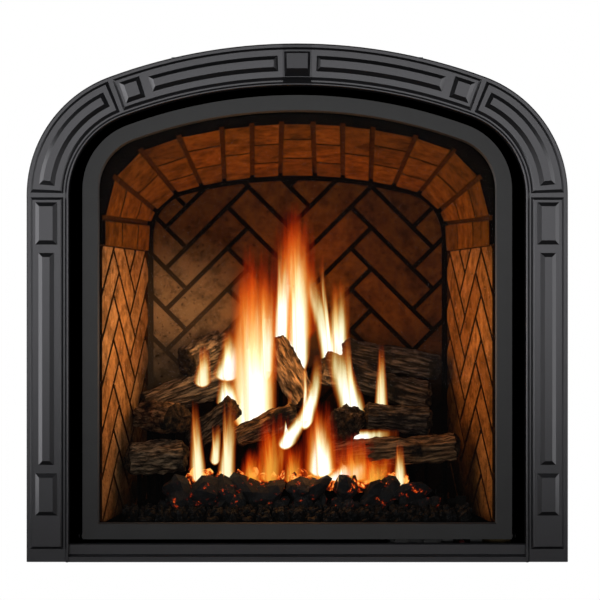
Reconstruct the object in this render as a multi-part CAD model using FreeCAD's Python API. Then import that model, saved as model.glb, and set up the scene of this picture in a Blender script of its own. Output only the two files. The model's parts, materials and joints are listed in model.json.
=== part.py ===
import FreeCAD, Part
import math
import os

# Arched gas fireplace: cast surround, glass door, brick-lined firebox, burner, log set and gas train.
# Millimetres. X runs to the right, Y runs back into the wall, Z is up.
# The origin is on the hearth at the middle of the wall plane, behind the surround.

Vec = FreeCAD.Vector
LEFT_RIGHT = (-1, 1)

# Shared fits
OVERRUN = 1.0
FIT_GAP = 0.3
RUNNING_GAP = 0.05

# Surround outline and moulding
SURROUND_HALF_WIDTH = 520.0
SURROUND_HEIGHT = 996.0
CROWN_RADIUS = 1046.0
SHOULDER_RADIUS = 242.0
MEMBER_WIDTH = 81.0
MEMBER_LEVEL = 20.0
MEMBER_WALL = 7.0
EDGE_BEVEL = 2.5
RIM_WIDTH = 7.0
RIM_BEVEL = 4.0
RIM_RISE = 5.0
TABLE_OUTER_INSET = 7.5
TABLE_INNER_INSET = 10.0
TABLE_BEVEL = 5.5
TABLE_RISE = 6.0
BAND_HALF = 4.2
BASE_BAND = 25.0

# Raised ornaments on the surround
BLOCK_HALF_WIDTH = 21.0
BLOCK_LENGTH = 81.0
BLOCK_MARGIN = 10.0
PANEL_HALF_WIDTH = 15.0
PANEL_BEVEL = 8.0
PANEL_RISE = 6.0
PANEL_GAP = 16.0
PLINTH_PLAIN = 65.0
CORNER_MARGIN = 14.5
CROWN_BLOCK_LENGTH = 40.0
KEYSTONE_HALF = 28.0
KEYSTONE_GAP = 9.0
KEYSTONE_RISE = 9.0
KEYSTONE_REACH = 26.0
KEYSTONE_SLOPE = 24.0

# Sill rail
SILL_HEIGHT = 34.0
SILL_LIP_HEIGHT = 12.0
SILL_LIP_DEPTH = 22.0
SILL_FACE_DEPTH = 12.0
SILL_EDGE = 2.0
SILL_HOLLOW = 6.0
SILL_WALL = 7.0

# Surround fixings
SPLICE_LENGTH = 64.0
SPLICE_WIDTH = 40.0
SPLICE_THICKNESS = 4.0
SCREW_RADIUS = 2.0
SCREW_HEAD_RADIUS = 4.5
SCREW_HEAD_HEIGHT = 2.6
SCREW_BITE = 5.0
SPLICE_SCREW_SHARES = (-0.3, 0.3)
STUD_RADIUS = 4.0
STUD_FLANGE_RADIUS = 10.0
STUD_FLANGE_HEIGHT = 4.0
STUD_REACH = 14.0
STUD_HEIGHT_SHARES = (0.2, 0.86)

# Door
DOOR_SIDE_GAP = 25.0
DOOR_CROWN_GAP = 17.0
DOOR_CROWN_TRIM = 14.0
DOOR_SHOULDER_TRIM = 29.0
DOOR_BOTTOM = 42.0
DOOR_FRONT = -8.0
DOOR_FACE_WIDTH = 32.0
DOOR_FACE_THICKNESS = 5.0
DOOR_LIP_BEVEL = 3.0
DOOR_RETURN_WALL = 4.0
DOOR_RETURN_DEPTH = 14.0
PANE_INSET = 10.0
PANE_THICKNESS = 5.0
GASKET_INSET = 12.0
GASKET_WIDTH = 18.0
GASKET_THICKNESS = 1.5
RETAINER_THICKNESS = 1.5
RETAINER_LENGTH = 40.0
RETAINER_REACH = 13.5
RETAINER_SIDE_SHARES = (0.15, 0.5, 0.85)
RETAINER_BOTTOM_SHARES = (-0.6, 0.6)
CATCH_ANGLE_SHARES = (-0.55, 0.55)
CATCH_RADIUS = 4.0
CATCH_INSET = 10.5
PIVOT_RADIUS = 4.0
PIVOT_LENGTH = 7.0
PIVOT_SETBACK = 5.0
PIVOT_RISE = 6.0
BRACKET_GAP = 2.0
BRACKET_WALL = 3.0
BRACKET_NOSE = 9.0
BRACKET_DEPTH = 30.0
BRACKET_FOOT = 22.0

# Door seat and firebox
SEAT_GAP = 2.0
SEAT_THICKNESS = 2.0
SEAT_INSET = 4.0
SEAT_WIDTH = 27.0
ROPE_INSET = 20.0
ROPE_WIDTH = 8.0
SHELL_INSET = 12.0
SHELL_WALL = 2.0
FLOOR_HEIGHT = 62.0
FLOOR_THICKNESS = 3.0
LEG_SIZE = 40.0
LEG_WALL = 3.0
LEG_GAP = 10.0
LEG_FRONT_Y = 60.0
LEG_SIDE_INSET = 32.0
LEG_REAR_INSET = 50.0

# Brick liner
LINER_THICKNESS = 20.0
LINER_DEPTH = 385.0
LINER_SPLAY = 53.0
BRICK_RELIEF = 5.0
BRICK_PITCH = 63.5
BRICK_PITCH_COUNT = 3
BRICK_JOINT = 10.0
BRICK_MARGIN = 4.0
BACK_MARGIN = 12.0
BACK_PATTERN_SHIFT = 84.0
BACK_PATTERN_LIFT = 13.0
SIDE_PANEL_HEIGHT = 547.0
VAULT_SETBACK = 25.0
VAULT_DROP = 36.0
VAULT_SLOPE = 72.0
VAULT_CROWN_RADIUS = 1000.0
VAULT_FRONT_SHOULDER = 150.0
VAULT_BACK_SHOULDER = 105.0
VAULT_CORNER_THICKNESS = 33.0
VAULT_CORNER_SHARES = (0.4, 0.8)
FRONT_JOINT_SHARES = (0.059, 0.171, 0.285, 0.448, 0.6, 0.742, 0.9)
BACK_JOINT_SHARES = (0.09, 0.236, 0.383, 0.505, 0.644, 0.786, 0.86)
COURSE_SPLIT_SHARES = ((0.36, 0.72), (0.5,), (0.28, 0.64))

# Casing
SHEET = 2.0
FASCIA_SHEET = 1.5
CASING_COVER = 50.0
CASING_TOP_COVER = 56.0
HIP_COVER = 18.0
CASING_BACK_GAP = 45.0
FASCIA_HIDE = 3.0
TAB_SETBACK = 30.0
TAB_REACH = 30.0
TAB_HEIGHT = 40.0
TAB_FLANGE = 30.0
TAB_HOLE_RADIUS = 3.5
TAB_HOLE_REACH = 17.0
TAB_SPACING = 350.0
TAB_MIDDLE = 425.0
STANDOFF_HEIGHT = 40.0
STANDOFF_LENGTH = 90.0
STANDOFF_WIDTH = 60.0
STANDOFF_FOOT = 15.0
STANDOFF_X = 215.0
STANDOFF_Y_SHARES = (0.2, 0.8)
VENT_Y = 250.0
VENT_INNER_RADIUS = 51.0
VENT_OUTER_RADIUS = 84.0
VENT_WALL = 1.5
VENT_TOP_COVER = 11.0
VENT_INNER_PROUD = 15.0
VENT_INNER_DIP = 14.0
VENT_SOCKET = 45.0
VENT_BEAD = 2.0
VENT_BEAD_HEIGHT = 5.0
VENT_FLANGE = 12.0

# Burner, venturi and pilot
BURNER_MIDDLE_SHARE = 16 / 35
BURNER_DEPTH = 158.0
BURNER_HEIGHT = 48.0
BURNER_WALL = 1.5
BURNER_TOP = 2.0
PORT_LENGTH = 14.0
PORT_WIDTH = 4.0
PORT_COUNT = 12
PORT_ROW_SHARES = (0.24, 0.9)
VENTURI_RADIUS = 15.0
VENTURI_WALL = 1.5
VENTURI_INSIDE = 30.0
VENTURI_OUTSIDE = 50.0
VENTURI_HEIGHT = 25.0
VENTURI_Y_SHARE = 0.5
WINDOW_LENGTH = 10.0
WINDOW_INSET = 6.0
SHUTTER_LENGTH = 22.0
SHUTTER_WALL = 1.5
SHUTTER_TAB = 10.0
SPUD_RADIUS = 6.0
SPUD_BORE_RADIUS = 1.5
SPUD_LENGTH = 18.0
SPUD_GAP = 2.0
ELBOW_SIZE = 20.0
ELBOW_CLEARANCE = 10.0
TUBE_RADIUS = 5.0
TUBE_BEND = 18.0
PILOT_X = -120.0
PILOT_GAP = 4.0
PILOT_PLATE = 2.0
PILOT_WIDTH = 64.0
PILOT_SHELF = 22.0
PILOT_SHELF_HEIGHT = 42.0
PILOT_HOOD_RADIUS = 7.0
PILOT_HOOD_HEIGHT = 26.0
PILOT_HOOD_WALL = 1.0
PILOT_SLOT = 12.0
PROBE_RADIUS = 2.0
PROBE_COLLAR_RADIUS = 4.0
PROBE_COLLAR_HEIGHT = 18.0
PROBE_HEIGHT = 34.0
PROBE_DROP = 12.0
PROBE_SPACING = 20.0
PILOT_TUBE_RADIUS = 3.0
PILOT_TUBE_BEND = 14.0
PILOT_TUBE_INSET = 25.0

# Gas valve and controls
VALVE_WIDTH = 105.0
VALVE_Y = 42.0
VALVE_DEPTH = 68.0
VALVE_HEIGHT = 40.0
VALVE_EDGE = 4.0
VALVE_BRACKET = 4.0
VALVE_BRACKET_LAP = 12.0
VALVE_AXIS = 26.0
BOSS_RADIUS = 9.0
BOSS_LENGTH = 5.0
REGULATOR_RADIUS = 18.0
REGULATOR_HEIGHT = 8.0
KNOB_RADIUS = 15.0
KNOB_LENGTH = 16.0
KNOB_SKIRT_RADIUS = 17.0
KNOB_SKIRT = 4.0
KNOB_FLUTE_RADIUS = 3.0
KNOB_FLUTES = 8
KNOB_POINTER = 3.0
KNOB_STEM_RADIUS = 4.0
KNOB_STEM_LENGTH = 12.0
KNOB_X_SHARES = (0.22, 0.76)
IGNITER_SETBACK = 43.0
IGNITER_RADIUS = 9.0
IGNITER_LENGTH = 24.0
IGNITER_COLLAR_RADIUS = 12.0
IGNITER_COLLAR = 3.0
IGNITER_PLATE = 2.0
IGNITER_PLATE_WIDTH = 34.0
IGNITER_PLATE_HEIGHT = 46.0
BUTTON_RADIUS = 6.0
BUTTON_PROUD = 12.0
BUTTON_INSIDE = 10.0
BUTTON_TRAVEL = 6.0
PIPE_RADIUS = 8.0
PIPE_SETBACK = 34.0
INLET_SETBACK = 45.0
SUPPLY_RUN = 80.0
SHUTOFF_LENGTH = 60.0
SHUTOFF_RADIUS = 13.0
SHUTOFF_HEX_RADIUS = 15.0
SHUTOFF_HEX = 14.0
INLET_BORE_RADIUS = 9.3
INLET_BORE_DEPTH = 16.0
INLET_HOLE_RADIUS = 22.0
STEM_RADIUS = 5.0
STEM_BOSS_RADIUS = 8.0
STEM_BOSS_HEIGHT = 4.0
LEVER_LENGTH = 50.0
LEVER_WIDTH = 12.0
LEVER_THICKNESS = 4.0

# Logs, coals and rock
LOG_LARGE = 60.0
LOG_MEDIUM = 55.0
LOG_SMALL = 49.0
LOG_BEND_SHARE = 0.06
LOG_RIDGE_SHARE = 0.07
LOG_SIDES = 9
LOG_STATION_SHARES = (0.0, 0.34, 0.7, 1.0)
LOG_TAPER_SHARES = (1.0, 1.06, 0.98, 0.9)
LOG_PIN_SIZE = 8.0
LOG_PILE_HEIGHT = 350.0
COAL_COUNT = 11
COAL_SIZE = 21.0
COAL_HEIGHT = 34.0
COAL_ROW = 20.0
ROCK_COLUMNS = 24
ROCK_ROWS = 3
ROCK_SIZE = 13.5
ROCK_HEIGHT = 25.0
ROCK_FIRST_ROW = 22.0
ROCK_BED_DEPTH = 84.0
LUMP_SIDES = 6
LUMP_TOP_SHARE = 0.55
LUMP_RADIUS_SHARES = (1.0, 0.82, 0.95, 0.78, 0.98, 0.86)
LUMP_HEIGHT_SHARES = (1.0, 0.78, 0.92, 0.7, 0.86)

# Each log: diameter, start and end as shares of the back half width, firebox depth and pile height,
# then its supports as (share along the log, what carries it there)
LOG_SHARES = {
    "log_rear_left": (LOG_LARGE, (-0.98, 0.755, 0.615), (-0.39, 0.755, 0.815),
                      ((0.12, "floor"), (0.85, "floor"))),
    "log_rear_right": (LOG_LARGE, (0.18, 0.74, 0.835), (0.83, 0.74, 0.675),
                       ((0.15, "floor"), (0.85, "floor"))),
    "log_rear_high": (LOG_SMALL, (0.33, 0.865, 0.955), (0.92, 0.865, 0.84),
                      ((0.12, "floor"), (0.88, "floor"))),
    "log_bark_left": (LOG_MEDIUM, (-0.72, 0.7, 0.875), (-0.505, 0.91, 0.985),
                      ((0.2, "log_rear_left"), (0.8, "floor"))),
    "log_upright": (LOG_MEDIUM, (0.06, 0.715, 0.66), (-0.15, 0.76, 0.985),
                    ((0.12, "floor"), (0.8, "floor"))),
    "log_left_cut": (LOG_LARGE, (-0.74, 0.33, 0.575), (-0.97, 0.61, 0.565),
                     ((0.13, "log_front_left"), (0.9, "floor"))),
    "log_left_lean": (LOG_SMALL, (-0.66, 0.53, 0.44), (-0.4, 0.44, 0.63),
                      ((0.15, "burner"), (0.85, "burner"))),
    "log_front_left": (LOG_LARGE, (-1.03, 0.365, 0.335), (-0.71, 0.365, 0.355),
                       ((0.15, "floor"), (0.6, "floor"))),
    "log_middle": (LOG_SMALL, (-0.37, 0.4, 0.445), (-0.02, 0.4, 0.585),
                   ((0.14, "burner"), (0.86, "burner"))),
    "log_round_end": (LOG_LARGE, (0.28, 0.34, 0.525), (0.33, 0.57, 0.545),
                      ((0.14, "log_front_right"), (0.88, "burner"))),
    "log_right_charred": (LOG_MEDIUM, (0.45, 0.51, 0.57), (0.82, 0.5, 0.545),
                          ((0.15, "burner"), (0.75, "burner"))),
    "log_front_right": (LOG_MEDIUM, (0.23, 0.365, 0.34), (0.98, 0.365, 0.4),
                        ((0.2, "burner"), (0.92, "floor"))),
}

NODES = {}


def box(x0, x1, y0, y1, z0, z1):
    """Box between two corners."""
    return Part.makeBox(x1 - x0, y1 - y0, z1 - z0, Vec(x0, y0, z0))


def rod(radius, start, along, length):
    """Round bar from a point, along a direction."""
    return Part.makeCylinder(radius, length, start, along)


def prism(points, along):
    """Closed outline pushed along a vector."""
    return Part.Face(Part.makePolygon(points + points[:1])).extrude(along)


def ruled(first, second):
    """Solid with straight sides between two wires of equal count of edges."""
    return Part.makeLoft([first, second], True, True)


def polyhedron(rings):
    """Solid through rings of corners, each band closed by flat triangles."""
    first, last = rings[0], rings[-1]
    faces = [Part.Face(Part.makePolygon(ring + ring[:1])) for ring in (first, last)]
    for low, high in zip(rings, rings[1:]):
        for a, b, c, d in zip(low, low[1:] + low[:1], high[1:] + high[:1], high):
            faces += [Part.Face(Part.makePolygon([a, b, c, a])), Part.Face(Part.makePolygon([a, c, d, a]))]
    return Part.Solid(Part.Shell(faces))


def frustum(low, high):
    """Solid between two like outlines with parallel sides, closed by flat faces."""
    faces = [Part.Face(Part.makePolygon(ring + ring[:1])) for ring in (low, high)]
    for a, b, c, d in zip(low, low[1:] + low[:1], high[1:] + high[:1], high):
        faces.append(Part.Face(Part.makePolygon([a, b, c, d, a])))
    return Part.Solid(Part.Shell(faces))


def mirrored(shape):
    """The same piece on the other side of the middle plane."""
    return shape.mirror(Vec(0, 0, 0), Vec(1, 0, 0))


def group(solids):
    """Separate solids kept in one node."""
    return Part.makeCompound([solid for shape in solids for solid in shape.Solids])


class Arch:
    """Three-centred arch on a level bottom, the same left and right."""

    def __init__(self, half_width, crown, crown_radius, shoulder_radius, bottom):
        self.half_width = half_width
        self.crown = crown
        self.crown_radius = crown_radius
        self.shoulder_radius = shoulder_radius
        self.bottom = bottom
        self.crown_centre = crown - crown_radius
        self.shoulder_x = half_width - shoulder_radius
        reach = crown_radius - shoulder_radius
        self.springing = self.crown_centre + math.sqrt(reach**2 - self.shoulder_x**2)
        self.turn = math.asin(self.shoulder_x / reach)

    def inset(self, distance):
        """Parallel arch a distance inside, bottom included."""
        return Arch(self.half_width - distance, self.crown - distance, self.crown_radius - distance,
                    self.shoulder_radius - distance, self.bottom + distance)

    def on(self, bottom):
        """The same arch on another bottom."""
        return Arch(self.half_width, self.crown, self.crown_radius, self.shoulder_radius, bottom)

    def at(self, angle, inset, y):
        """Point on the crown arc, by its angle from upright."""
        radius = self.crown_radius - inset
        return Vec(radius * math.sin(angle), y, self.crown_centre + radius * math.cos(angle))

    def shoulder(self, angle, y):
        """Point on the right shoulder arc, by its angle from upright."""
        return Vec(self.shoulder_x + self.shoulder_radius * math.sin(angle), y,
                   self.springing + self.shoulder_radius * math.cos(angle))

    def half_length(self, foot):
        """Length of line from the crown's middle down one side to a foot height."""
        return (self.crown_radius * self.turn + self.shoulder_radius * (math.pi / 2 - self.turn)
                + self.springing - foot)

    def along(self, distance, y):
        """Point and outward direction at a distance from the crown's middle down the right side."""
        on_crown = self.crown_radius * self.turn
        on_shoulder = self.shoulder_radius * (math.pi / 2 - self.turn)
        if distance <= on_crown:
            angle = distance / self.crown_radius
            return self.at(angle, 0, y), Vec(math.sin(angle), 0, math.cos(angle))
        if distance <= on_crown + on_shoulder:
            angle = self.turn + (distance - on_crown) / self.shoulder_radius
            return self.shoulder(angle, y), Vec(math.sin(angle), 0, math.cos(angle))
        drop = distance - on_crown - on_shoulder
        return Vec(self.half_width, y, self.springing - drop), Vec(1, 0, 0)

    def wire(self, y):
        """Closed outline at one depth."""
        middle = (self.turn + math.pi / 2) / 2
        foot = Vec(self.half_width, y, self.bottom)
        spring = Vec(self.half_width, y, self.springing)
        bend = self.shoulder(middle, y)
        knee = self.at(self.turn, 0, y)
        top = self.at(0, 0, y)

        def across(point):
            return Vec(-point.x, point.y, point.z)

        edges = [
            Part.LineSegment(foot, across(foot)),
            Part.LineSegment(across(foot), across(spring)),
            Part.Arc(across(spring), across(bend), across(knee)),
            Part.Arc(across(knee), top, knee),
            Part.Arc(knee, bend, spring),
            Part.LineSegment(spring, foot),
        ]
        return Part.Wire([edge.toShape() for edge in edges])

    def solid(self, y0, y1):
        """Arch outline as a block between two depths."""
        return Part.Face(self.wire(y0)).extrude(Vec(0, y1 - y0, 0))

    def ring(self, width, y0, y1):
        """Closed band of one width just inside the outline."""
        return self.solid(y0, y1).cut(self.inset(width).solid(y0 - OVERRUN, y1 + OVERRUN))


class HipBox:
    """Box outline with its two top corners cut off at 45 degrees."""

    def __init__(self, half_width, top, hip, bottom):
        self.half_width = half_width
        self.top = top
        self.hip = hip
        self.bottom = bottom

    def inset(self, distance):
        """Parallel outline inside, on the same bottom."""
        return HipBox(self.half_width - distance, self.top - distance,
                      self.hip - (2 - math.sqrt(2)) * distance, self.bottom)

    def solid(self, y0, y1):
        """The outline as a block between two depths."""
        half, top, hip, bottom = self.half_width, self.top, self.hip, self.bottom
        points = [Vec(-half, y0, bottom), Vec(-half, y0, top - hip), Vec(hip - half, y0, top),
                  Vec(half - hip, y0, top), Vec(half, y0, top - hip), Vec(half, y0, bottom)]
        return prism(points, Vec(0, y1 - y0, 0))


# Arches and planes that the pieces share
surround_arch = Arch(SURROUND_HALF_WIDTH, SURROUND_HEIGHT, CROWN_RADIUS, SHOULDER_RADIUS, 0)
surround_inside = surround_arch.inset(MEMBER_WIDTH)
door_arch = Arch(surround_inside.half_width - DOOR_SIDE_GAP, surround_inside.crown - DOOR_CROWN_GAP,
                 surround_inside.crown_radius - DOOR_CROWN_TRIM,
                 surround_inside.shoulder_radius - DOOR_SHOULDER_TRIM, DOOR_BOTTOM)
face_back = DOOR_FRONT + DOOR_FACE_THICKNESS
pane_front = face_back + GASKET_THICKNESS
pane_back = pane_front + PANE_THICKNESS
return_back = face_back + DOOR_RETURN_DEPTH
seat_front = return_back + SEAT_GAP
seat_back = seat_front + SEAT_THICKNESS
liner_back_plane = seat_back + LINER_DEPTH
shell_back = liner_back_plane + LINER_THICKNESS + FIT_GAP
casing_back = shell_back + SHELL_WALL + CASING_BACK_GAP
floor_top = FLOOR_HEIGHT + FLOOR_THICKNESS
shell_arch = door_arch.inset(SHELL_INSET).on(floor_top)
shell_inside = shell_arch.inset(SHELL_WALL).on(floor_top)
liner_front_half = shell_inside.half_width - FIT_GAP - LINER_THICKNESS
liner_back_half = liner_front_half - LINER_SPLAY
side_top = floor_top + SIDE_PANEL_HEIGHT
fascia_opening = surround_inside.inset(-FASCIA_HIDE).on(SHEET - OVERRUN)
casing_half = SURROUND_HALF_WIDTH - CASING_COVER
casing_top = SURROUND_HEIGHT - CASING_TOP_COVER
hip_line = (fascia_opening.shoulder_x + fascia_opening.springing
            + math.sqrt(2) * (fascia_opening.shoulder_radius + HIP_COVER))
casing_hip = casing_half + casing_top - hip_line
casing_outline = HipBox(casing_half, casing_top, casing_hip, SHEET)
shutoff_x = casing_half - INLET_SETBACK - SHUTOFF_LENGTH
valve_x = shutoff_x - SUPPLY_RUN - VALVE_WIDTH
igniter_x = shutoff_x - IGNITER_SETBACK
burner_axis_y = seat_back + BURNER_MIDDLE_SHARE * LINER_DEPTH
burner_front = burner_axis_y - VENTURI_Y_SHARE * BURNER_DEPTH
elbow_end = (liner_front_half - LINER_SPLAY * (burner_axis_y - seat_back) / LINER_DEPTH
             - ELBOW_CLEARANCE)
spud_x = elbow_end - ELBOW_SIZE - SPUD_LENGTH
burner_half_width = spud_x - SPUD_GAP - VENTURI_OUTSIDE
burner_top_level = floor_top + BURNER_HEIGHT + BURNER_TOP


# Surround castings
def member_section():
    """Moulding section with a hollow back, as distance from the outer edge and height off the wall."""
    rim_level = MEMBER_LEVEL + RIM_RISE
    ceiling = MEMBER_LEVEL - MEMBER_WALL
    return [
        (0, 0), (0, MEMBER_LEVEL - EDGE_BEVEL), (EDGE_BEVEL, MEMBER_LEVEL),
        (MEMBER_WIDTH - RIM_WIDTH, MEMBER_LEVEL),
        (MEMBER_WIDTH - RIM_WIDTH + RIM_BEVEL, rim_level),
        (MEMBER_WIDTH - EDGE_BEVEL / 2, rim_level), (MEMBER_WIDTH, rim_level - EDGE_BEVEL / 2),
        (MEMBER_WIDTH, 0), (MEMBER_WIDTH - MEMBER_WALL, 0), (MEMBER_WIDTH - MEMBER_WALL, ceiling),
        (MEMBER_WALL, ceiling), (MEMBER_WALL, 0),
    ]


def straight_member(z0, z1):
    """Left upright length of the moulding."""
    points = [Vec(across - SURROUND_HALF_WIDTH, -height, z0) for across, height in member_section()]
    return prism(points, Vec(0, 0, z1 - z0))


def curved_member(centre, radius, start, end):
    """Length of the moulding round an arc, between two angles from upright."""
    points = [Vec(centre.x + (radius - across) * math.sin(start), -height,
                  centre.z + (radius - across) * math.cos(start)) for across, height in member_section()]
    face = Part.Face(Part.makePolygon(points + points[:1]))
    return face.revolve(centre, Vec(0, 1, 0), math.degrees(end - start))


def straight_rise(near, far, z0, z1, level, rise, bevel):
    """Bevelled raised field on the left upright."""
    def outline(inset, height):
        x0 = near + inset - SURROUND_HALF_WIDTH
        x1 = far - inset - SURROUND_HALF_WIDTH
        return [Vec(x0, -height, z0 + inset), Vec(x1, -height, z0 + inset),
                Vec(x1, -height, z1 - inset), Vec(x0, -height, z1 - inset)]

    return frustum(outline(0, level), outline(bevel, level + rise))


def curved_rise(centre, radius, near, far, start, end, level, rise, bevel, inner_bevel=None):
    """Bevelled raised field round an arc, between two angles from upright."""
    middle_radius = radius - (near + far) / 2
    inner_bevel = inner_bevel or bevel

    def outline(inset, inner_inset, height):
        turn = inset / middle_radius
        first, last, middle = start + turn, end - turn, (start + end) / 2

        def point(angle, across):
            reach = radius - across
            return Vec(centre.x + reach * math.sin(angle), -height, centre.z + reach * math.cos(angle))

        outer, inner = near + inset, far - inner_inset
        edges = [
            Part.Arc(point(first, outer), point(middle, outer), point(last, outer)),
            Part.LineSegment(point(last, outer), point(last, inner)),
            Part.Arc(point(last, inner), point(middle, inner), point(first, inner)),
            Part.LineSegment(point(first, inner), point(first, outer)),
        ]
        return Part.Wire([edge.toShape() for edge in edges])

    return ruled(outline(0, 0, level), outline(bevel, inner_bevel, level + rise))


table_near = TABLE_OUTER_INSET
table_far = MEMBER_WIDTH - TABLE_INNER_INSET
table_middle = (table_near + table_far) / 2
table_level = MEMBER_LEVEL + TABLE_RISE


def left_jamb():
    """Straight leg: stepped table, two blocks, one long panel and a plain plinth."""
    top = surround_arch.springing
    table_top = top - BAND_HALF
    block_top = table_top - BLOCK_MARGIN
    plinth_top = BASE_BAND + PLINTH_PLAIN
    panel_top = block_top - BLOCK_LENGTH - PANEL_GAP
    panel_foot = plinth_top + BLOCK_LENGTH + PANEL_GAP
    block = (table_middle - BLOCK_HALF_WIDTH, table_middle + BLOCK_HALF_WIDTH)
    panel = (table_middle - PANEL_HALF_WIDTH, table_middle + PANEL_HALF_WIDTH)
    rises = [
        straight_rise(table_near, table_far, BASE_BAND, table_top, MEMBER_LEVEL, TABLE_RISE, TABLE_BEVEL),
        straight_rise(*block, block_top - BLOCK_LENGTH, block_top, table_level, PANEL_RISE, PANEL_BEVEL),
        straight_rise(*panel, panel_foot, panel_top, table_level, PANEL_RISE, PANEL_BEVEL),
        straight_rise(*block, plinth_top, plinth_top + BLOCK_LENGTH, table_level, PANEL_RISE, PANEL_BEVEL),
    ]
    return straight_member(0, top).multiFuse(rises)


def left_corner():
    """Shoulder casting with one long curved panel."""
    centre = Vec(-surround_arch.shoulder_x, 0, surround_arch.springing)
    start, end = -math.pi / 2, -surround_arch.turn
    middle_radius = SHOULDER_RADIUS - table_middle
    band = BAND_HALF / middle_radius
    margin = band + CORNER_MARGIN / middle_radius
    rises = [
        curved_rise(centre, SHOULDER_RADIUS, table_near, table_far, start + band, end - band,
                    MEMBER_LEVEL, TABLE_RISE, TABLE_BEVEL),
        curved_rise(centre, SHOULDER_RADIUS, table_middle - PANEL_HALF_WIDTH,
                    table_middle + PANEL_HALF_WIDTH, start + margin, end - margin,
                    table_level, PANEL_RISE, PANEL_BEVEL),
    ]
    return curved_member(centre, SHOULDER_RADIUS, start, end).multiFuse(rises)


def crown_arch():
    """Top casting: end blocks, two long panels and the keystone."""
    centre = Vec(0, 0, surround_arch.crown_centre)
    turn = surround_arch.turn
    middle_radius = CROWN_RADIUS - table_middle
    table_end = turn - BAND_HALF / middle_radius
    block_end = table_end - BLOCK_MARGIN / middle_radius
    block_start = block_end - CROWN_BLOCK_LENGTH / middle_radius
    panel_end = block_start - PANEL_GAP / middle_radius
    key_end = KEYSTONE_HALF / middle_radius
    panel_start = key_end + KEYSTONE_GAP / middle_radius
    block = (table_middle - BLOCK_HALF_WIDTH, table_middle + BLOCK_HALF_WIDTH)
    panel = (table_middle - PANEL_HALF_WIDTH, table_middle + PANEL_HALF_WIDTH)
    rises = [
        curved_rise(centre, CROWN_RADIUS, table_near, table_far, -table_end, table_end,
                    MEMBER_LEVEL, TABLE_RISE, TABLE_BEVEL),
        curved_rise(centre, CROWN_RADIUS, table_middle - KEYSTONE_REACH, MEMBER_WIDTH - RIM_WIDTH,
                    -key_end, key_end, MEMBER_LEVEL, TABLE_RISE + KEYSTONE_RISE, PANEL_BEVEL,
                    KEYSTONE_SLOPE),
    ]
    for low, high in ((block_start, block_end), (-block_end, -block_start)):
        rises.append(curved_rise(centre, CROWN_RADIUS, *block, low, high,
                                 table_level, PANEL_RISE, PANEL_BEVEL))
    for low, high in ((panel_start, panel_end), (-panel_end, -panel_start)):
        rises.append(curved_rise(centre, CROWN_RADIUS, *panel, low, high,
                                 table_level, PANEL_RISE, PANEL_BEVEL))
    return curved_member(centre, CROWN_RADIUS, -turn, turn).multiFuse(rises)


def sill_rail():
    """Low rail between the jambs, with a projecting lip along the hearth."""
    half = surround_inside.half_width
    hollow_top = SILL_HEIGHT - SILL_WALL
    profile = [
        (0, 0), (SILL_LIP_DEPTH, 0), (SILL_LIP_DEPTH, SILL_LIP_HEIGHT - SILL_EDGE),
        (SILL_LIP_DEPTH - SILL_EDGE, SILL_LIP_HEIGHT),
        (SILL_FACE_DEPTH + SILL_EDGE, SILL_LIP_HEIGHT), (SILL_FACE_DEPTH, SILL_LIP_HEIGHT + SILL_EDGE),
        (SILL_FACE_DEPTH, SILL_HEIGHT - SILL_EDGE), (SILL_FACE_DEPTH - SILL_EDGE, SILL_HEIGHT),
        (0, SILL_HEIGHT), (0, hollow_top), (SILL_HOLLOW, hollow_top), (SILL_HOLLOW, SILL_WALL),
        (0, SILL_WALL),
    ]
    return prism([Vec(-half, -depth, z) for depth, z in profile], Vec(2 * half, 0, 0))


def splice(place, angle):
    """Back plate across a seam, with its two screws, turned to the seam's angle from upright."""
    ceiling = MEMBER_WALL - MEMBER_LEVEL
    plate = box(-SPLICE_WIDTH / 2, SPLICE_WIDTH / 2, ceiling, ceiling + SPLICE_THICKNESS,
                -SPLICE_LENGTH / 2, SPLICE_LENGTH / 2)
    screws = []
    for along in SPLICE_SCREW_SHARES:
        spot = Vec(0, ceiling + SPLICE_THICKNESS, along * SPLICE_LENGTH)
        head = rod(SCREW_HEAD_RADIUS, spot, Vec(0, 1, 0), SCREW_HEAD_HEIGHT)
        screws.append(head.fuse(rod(SCREW_RADIUS, spot, Vec(0, -1, 0), SPLICE_THICKNESS + SCREW_BITE)))
    for piece in [plate] + screws:
        piece.rotate(Vec(0, 0, 0), Vec(0, 1, 0), math.degrees(angle))
        piece.translate(place)
    return plate.cut(screws), screws


def sill_screw():
    """Left screw through the jamb's inner wall into the end of the sill."""
    wall_start = -surround_inside.half_width - MEMBER_WALL
    spot = Vec(wall_start, -(SILL_FACE_DEPTH + SILL_HOLLOW) / 2, SILL_HEIGHT / 2)
    head = rod(SCREW_HEAD_RADIUS, spot, Vec(-1, 0, 0), SCREW_HEAD_HEIGHT)
    return head.fuse(rod(SCREW_RADIUS, spot, Vec(1, 0, 0), MEMBER_WALL + SPLICE_LENGTH / 2))


def stud_places():
    """Where the four locating studs stand behind the jambs."""
    x = surround_inside.half_width + MEMBER_WALL + FIT_GAP + STUD_FLANGE_RADIUS
    return [Vec(side * x, 0, share * surround_arch.springing)
            for side in LEFT_RIGHT for share in STUD_HEIGHT_SHARES]


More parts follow.
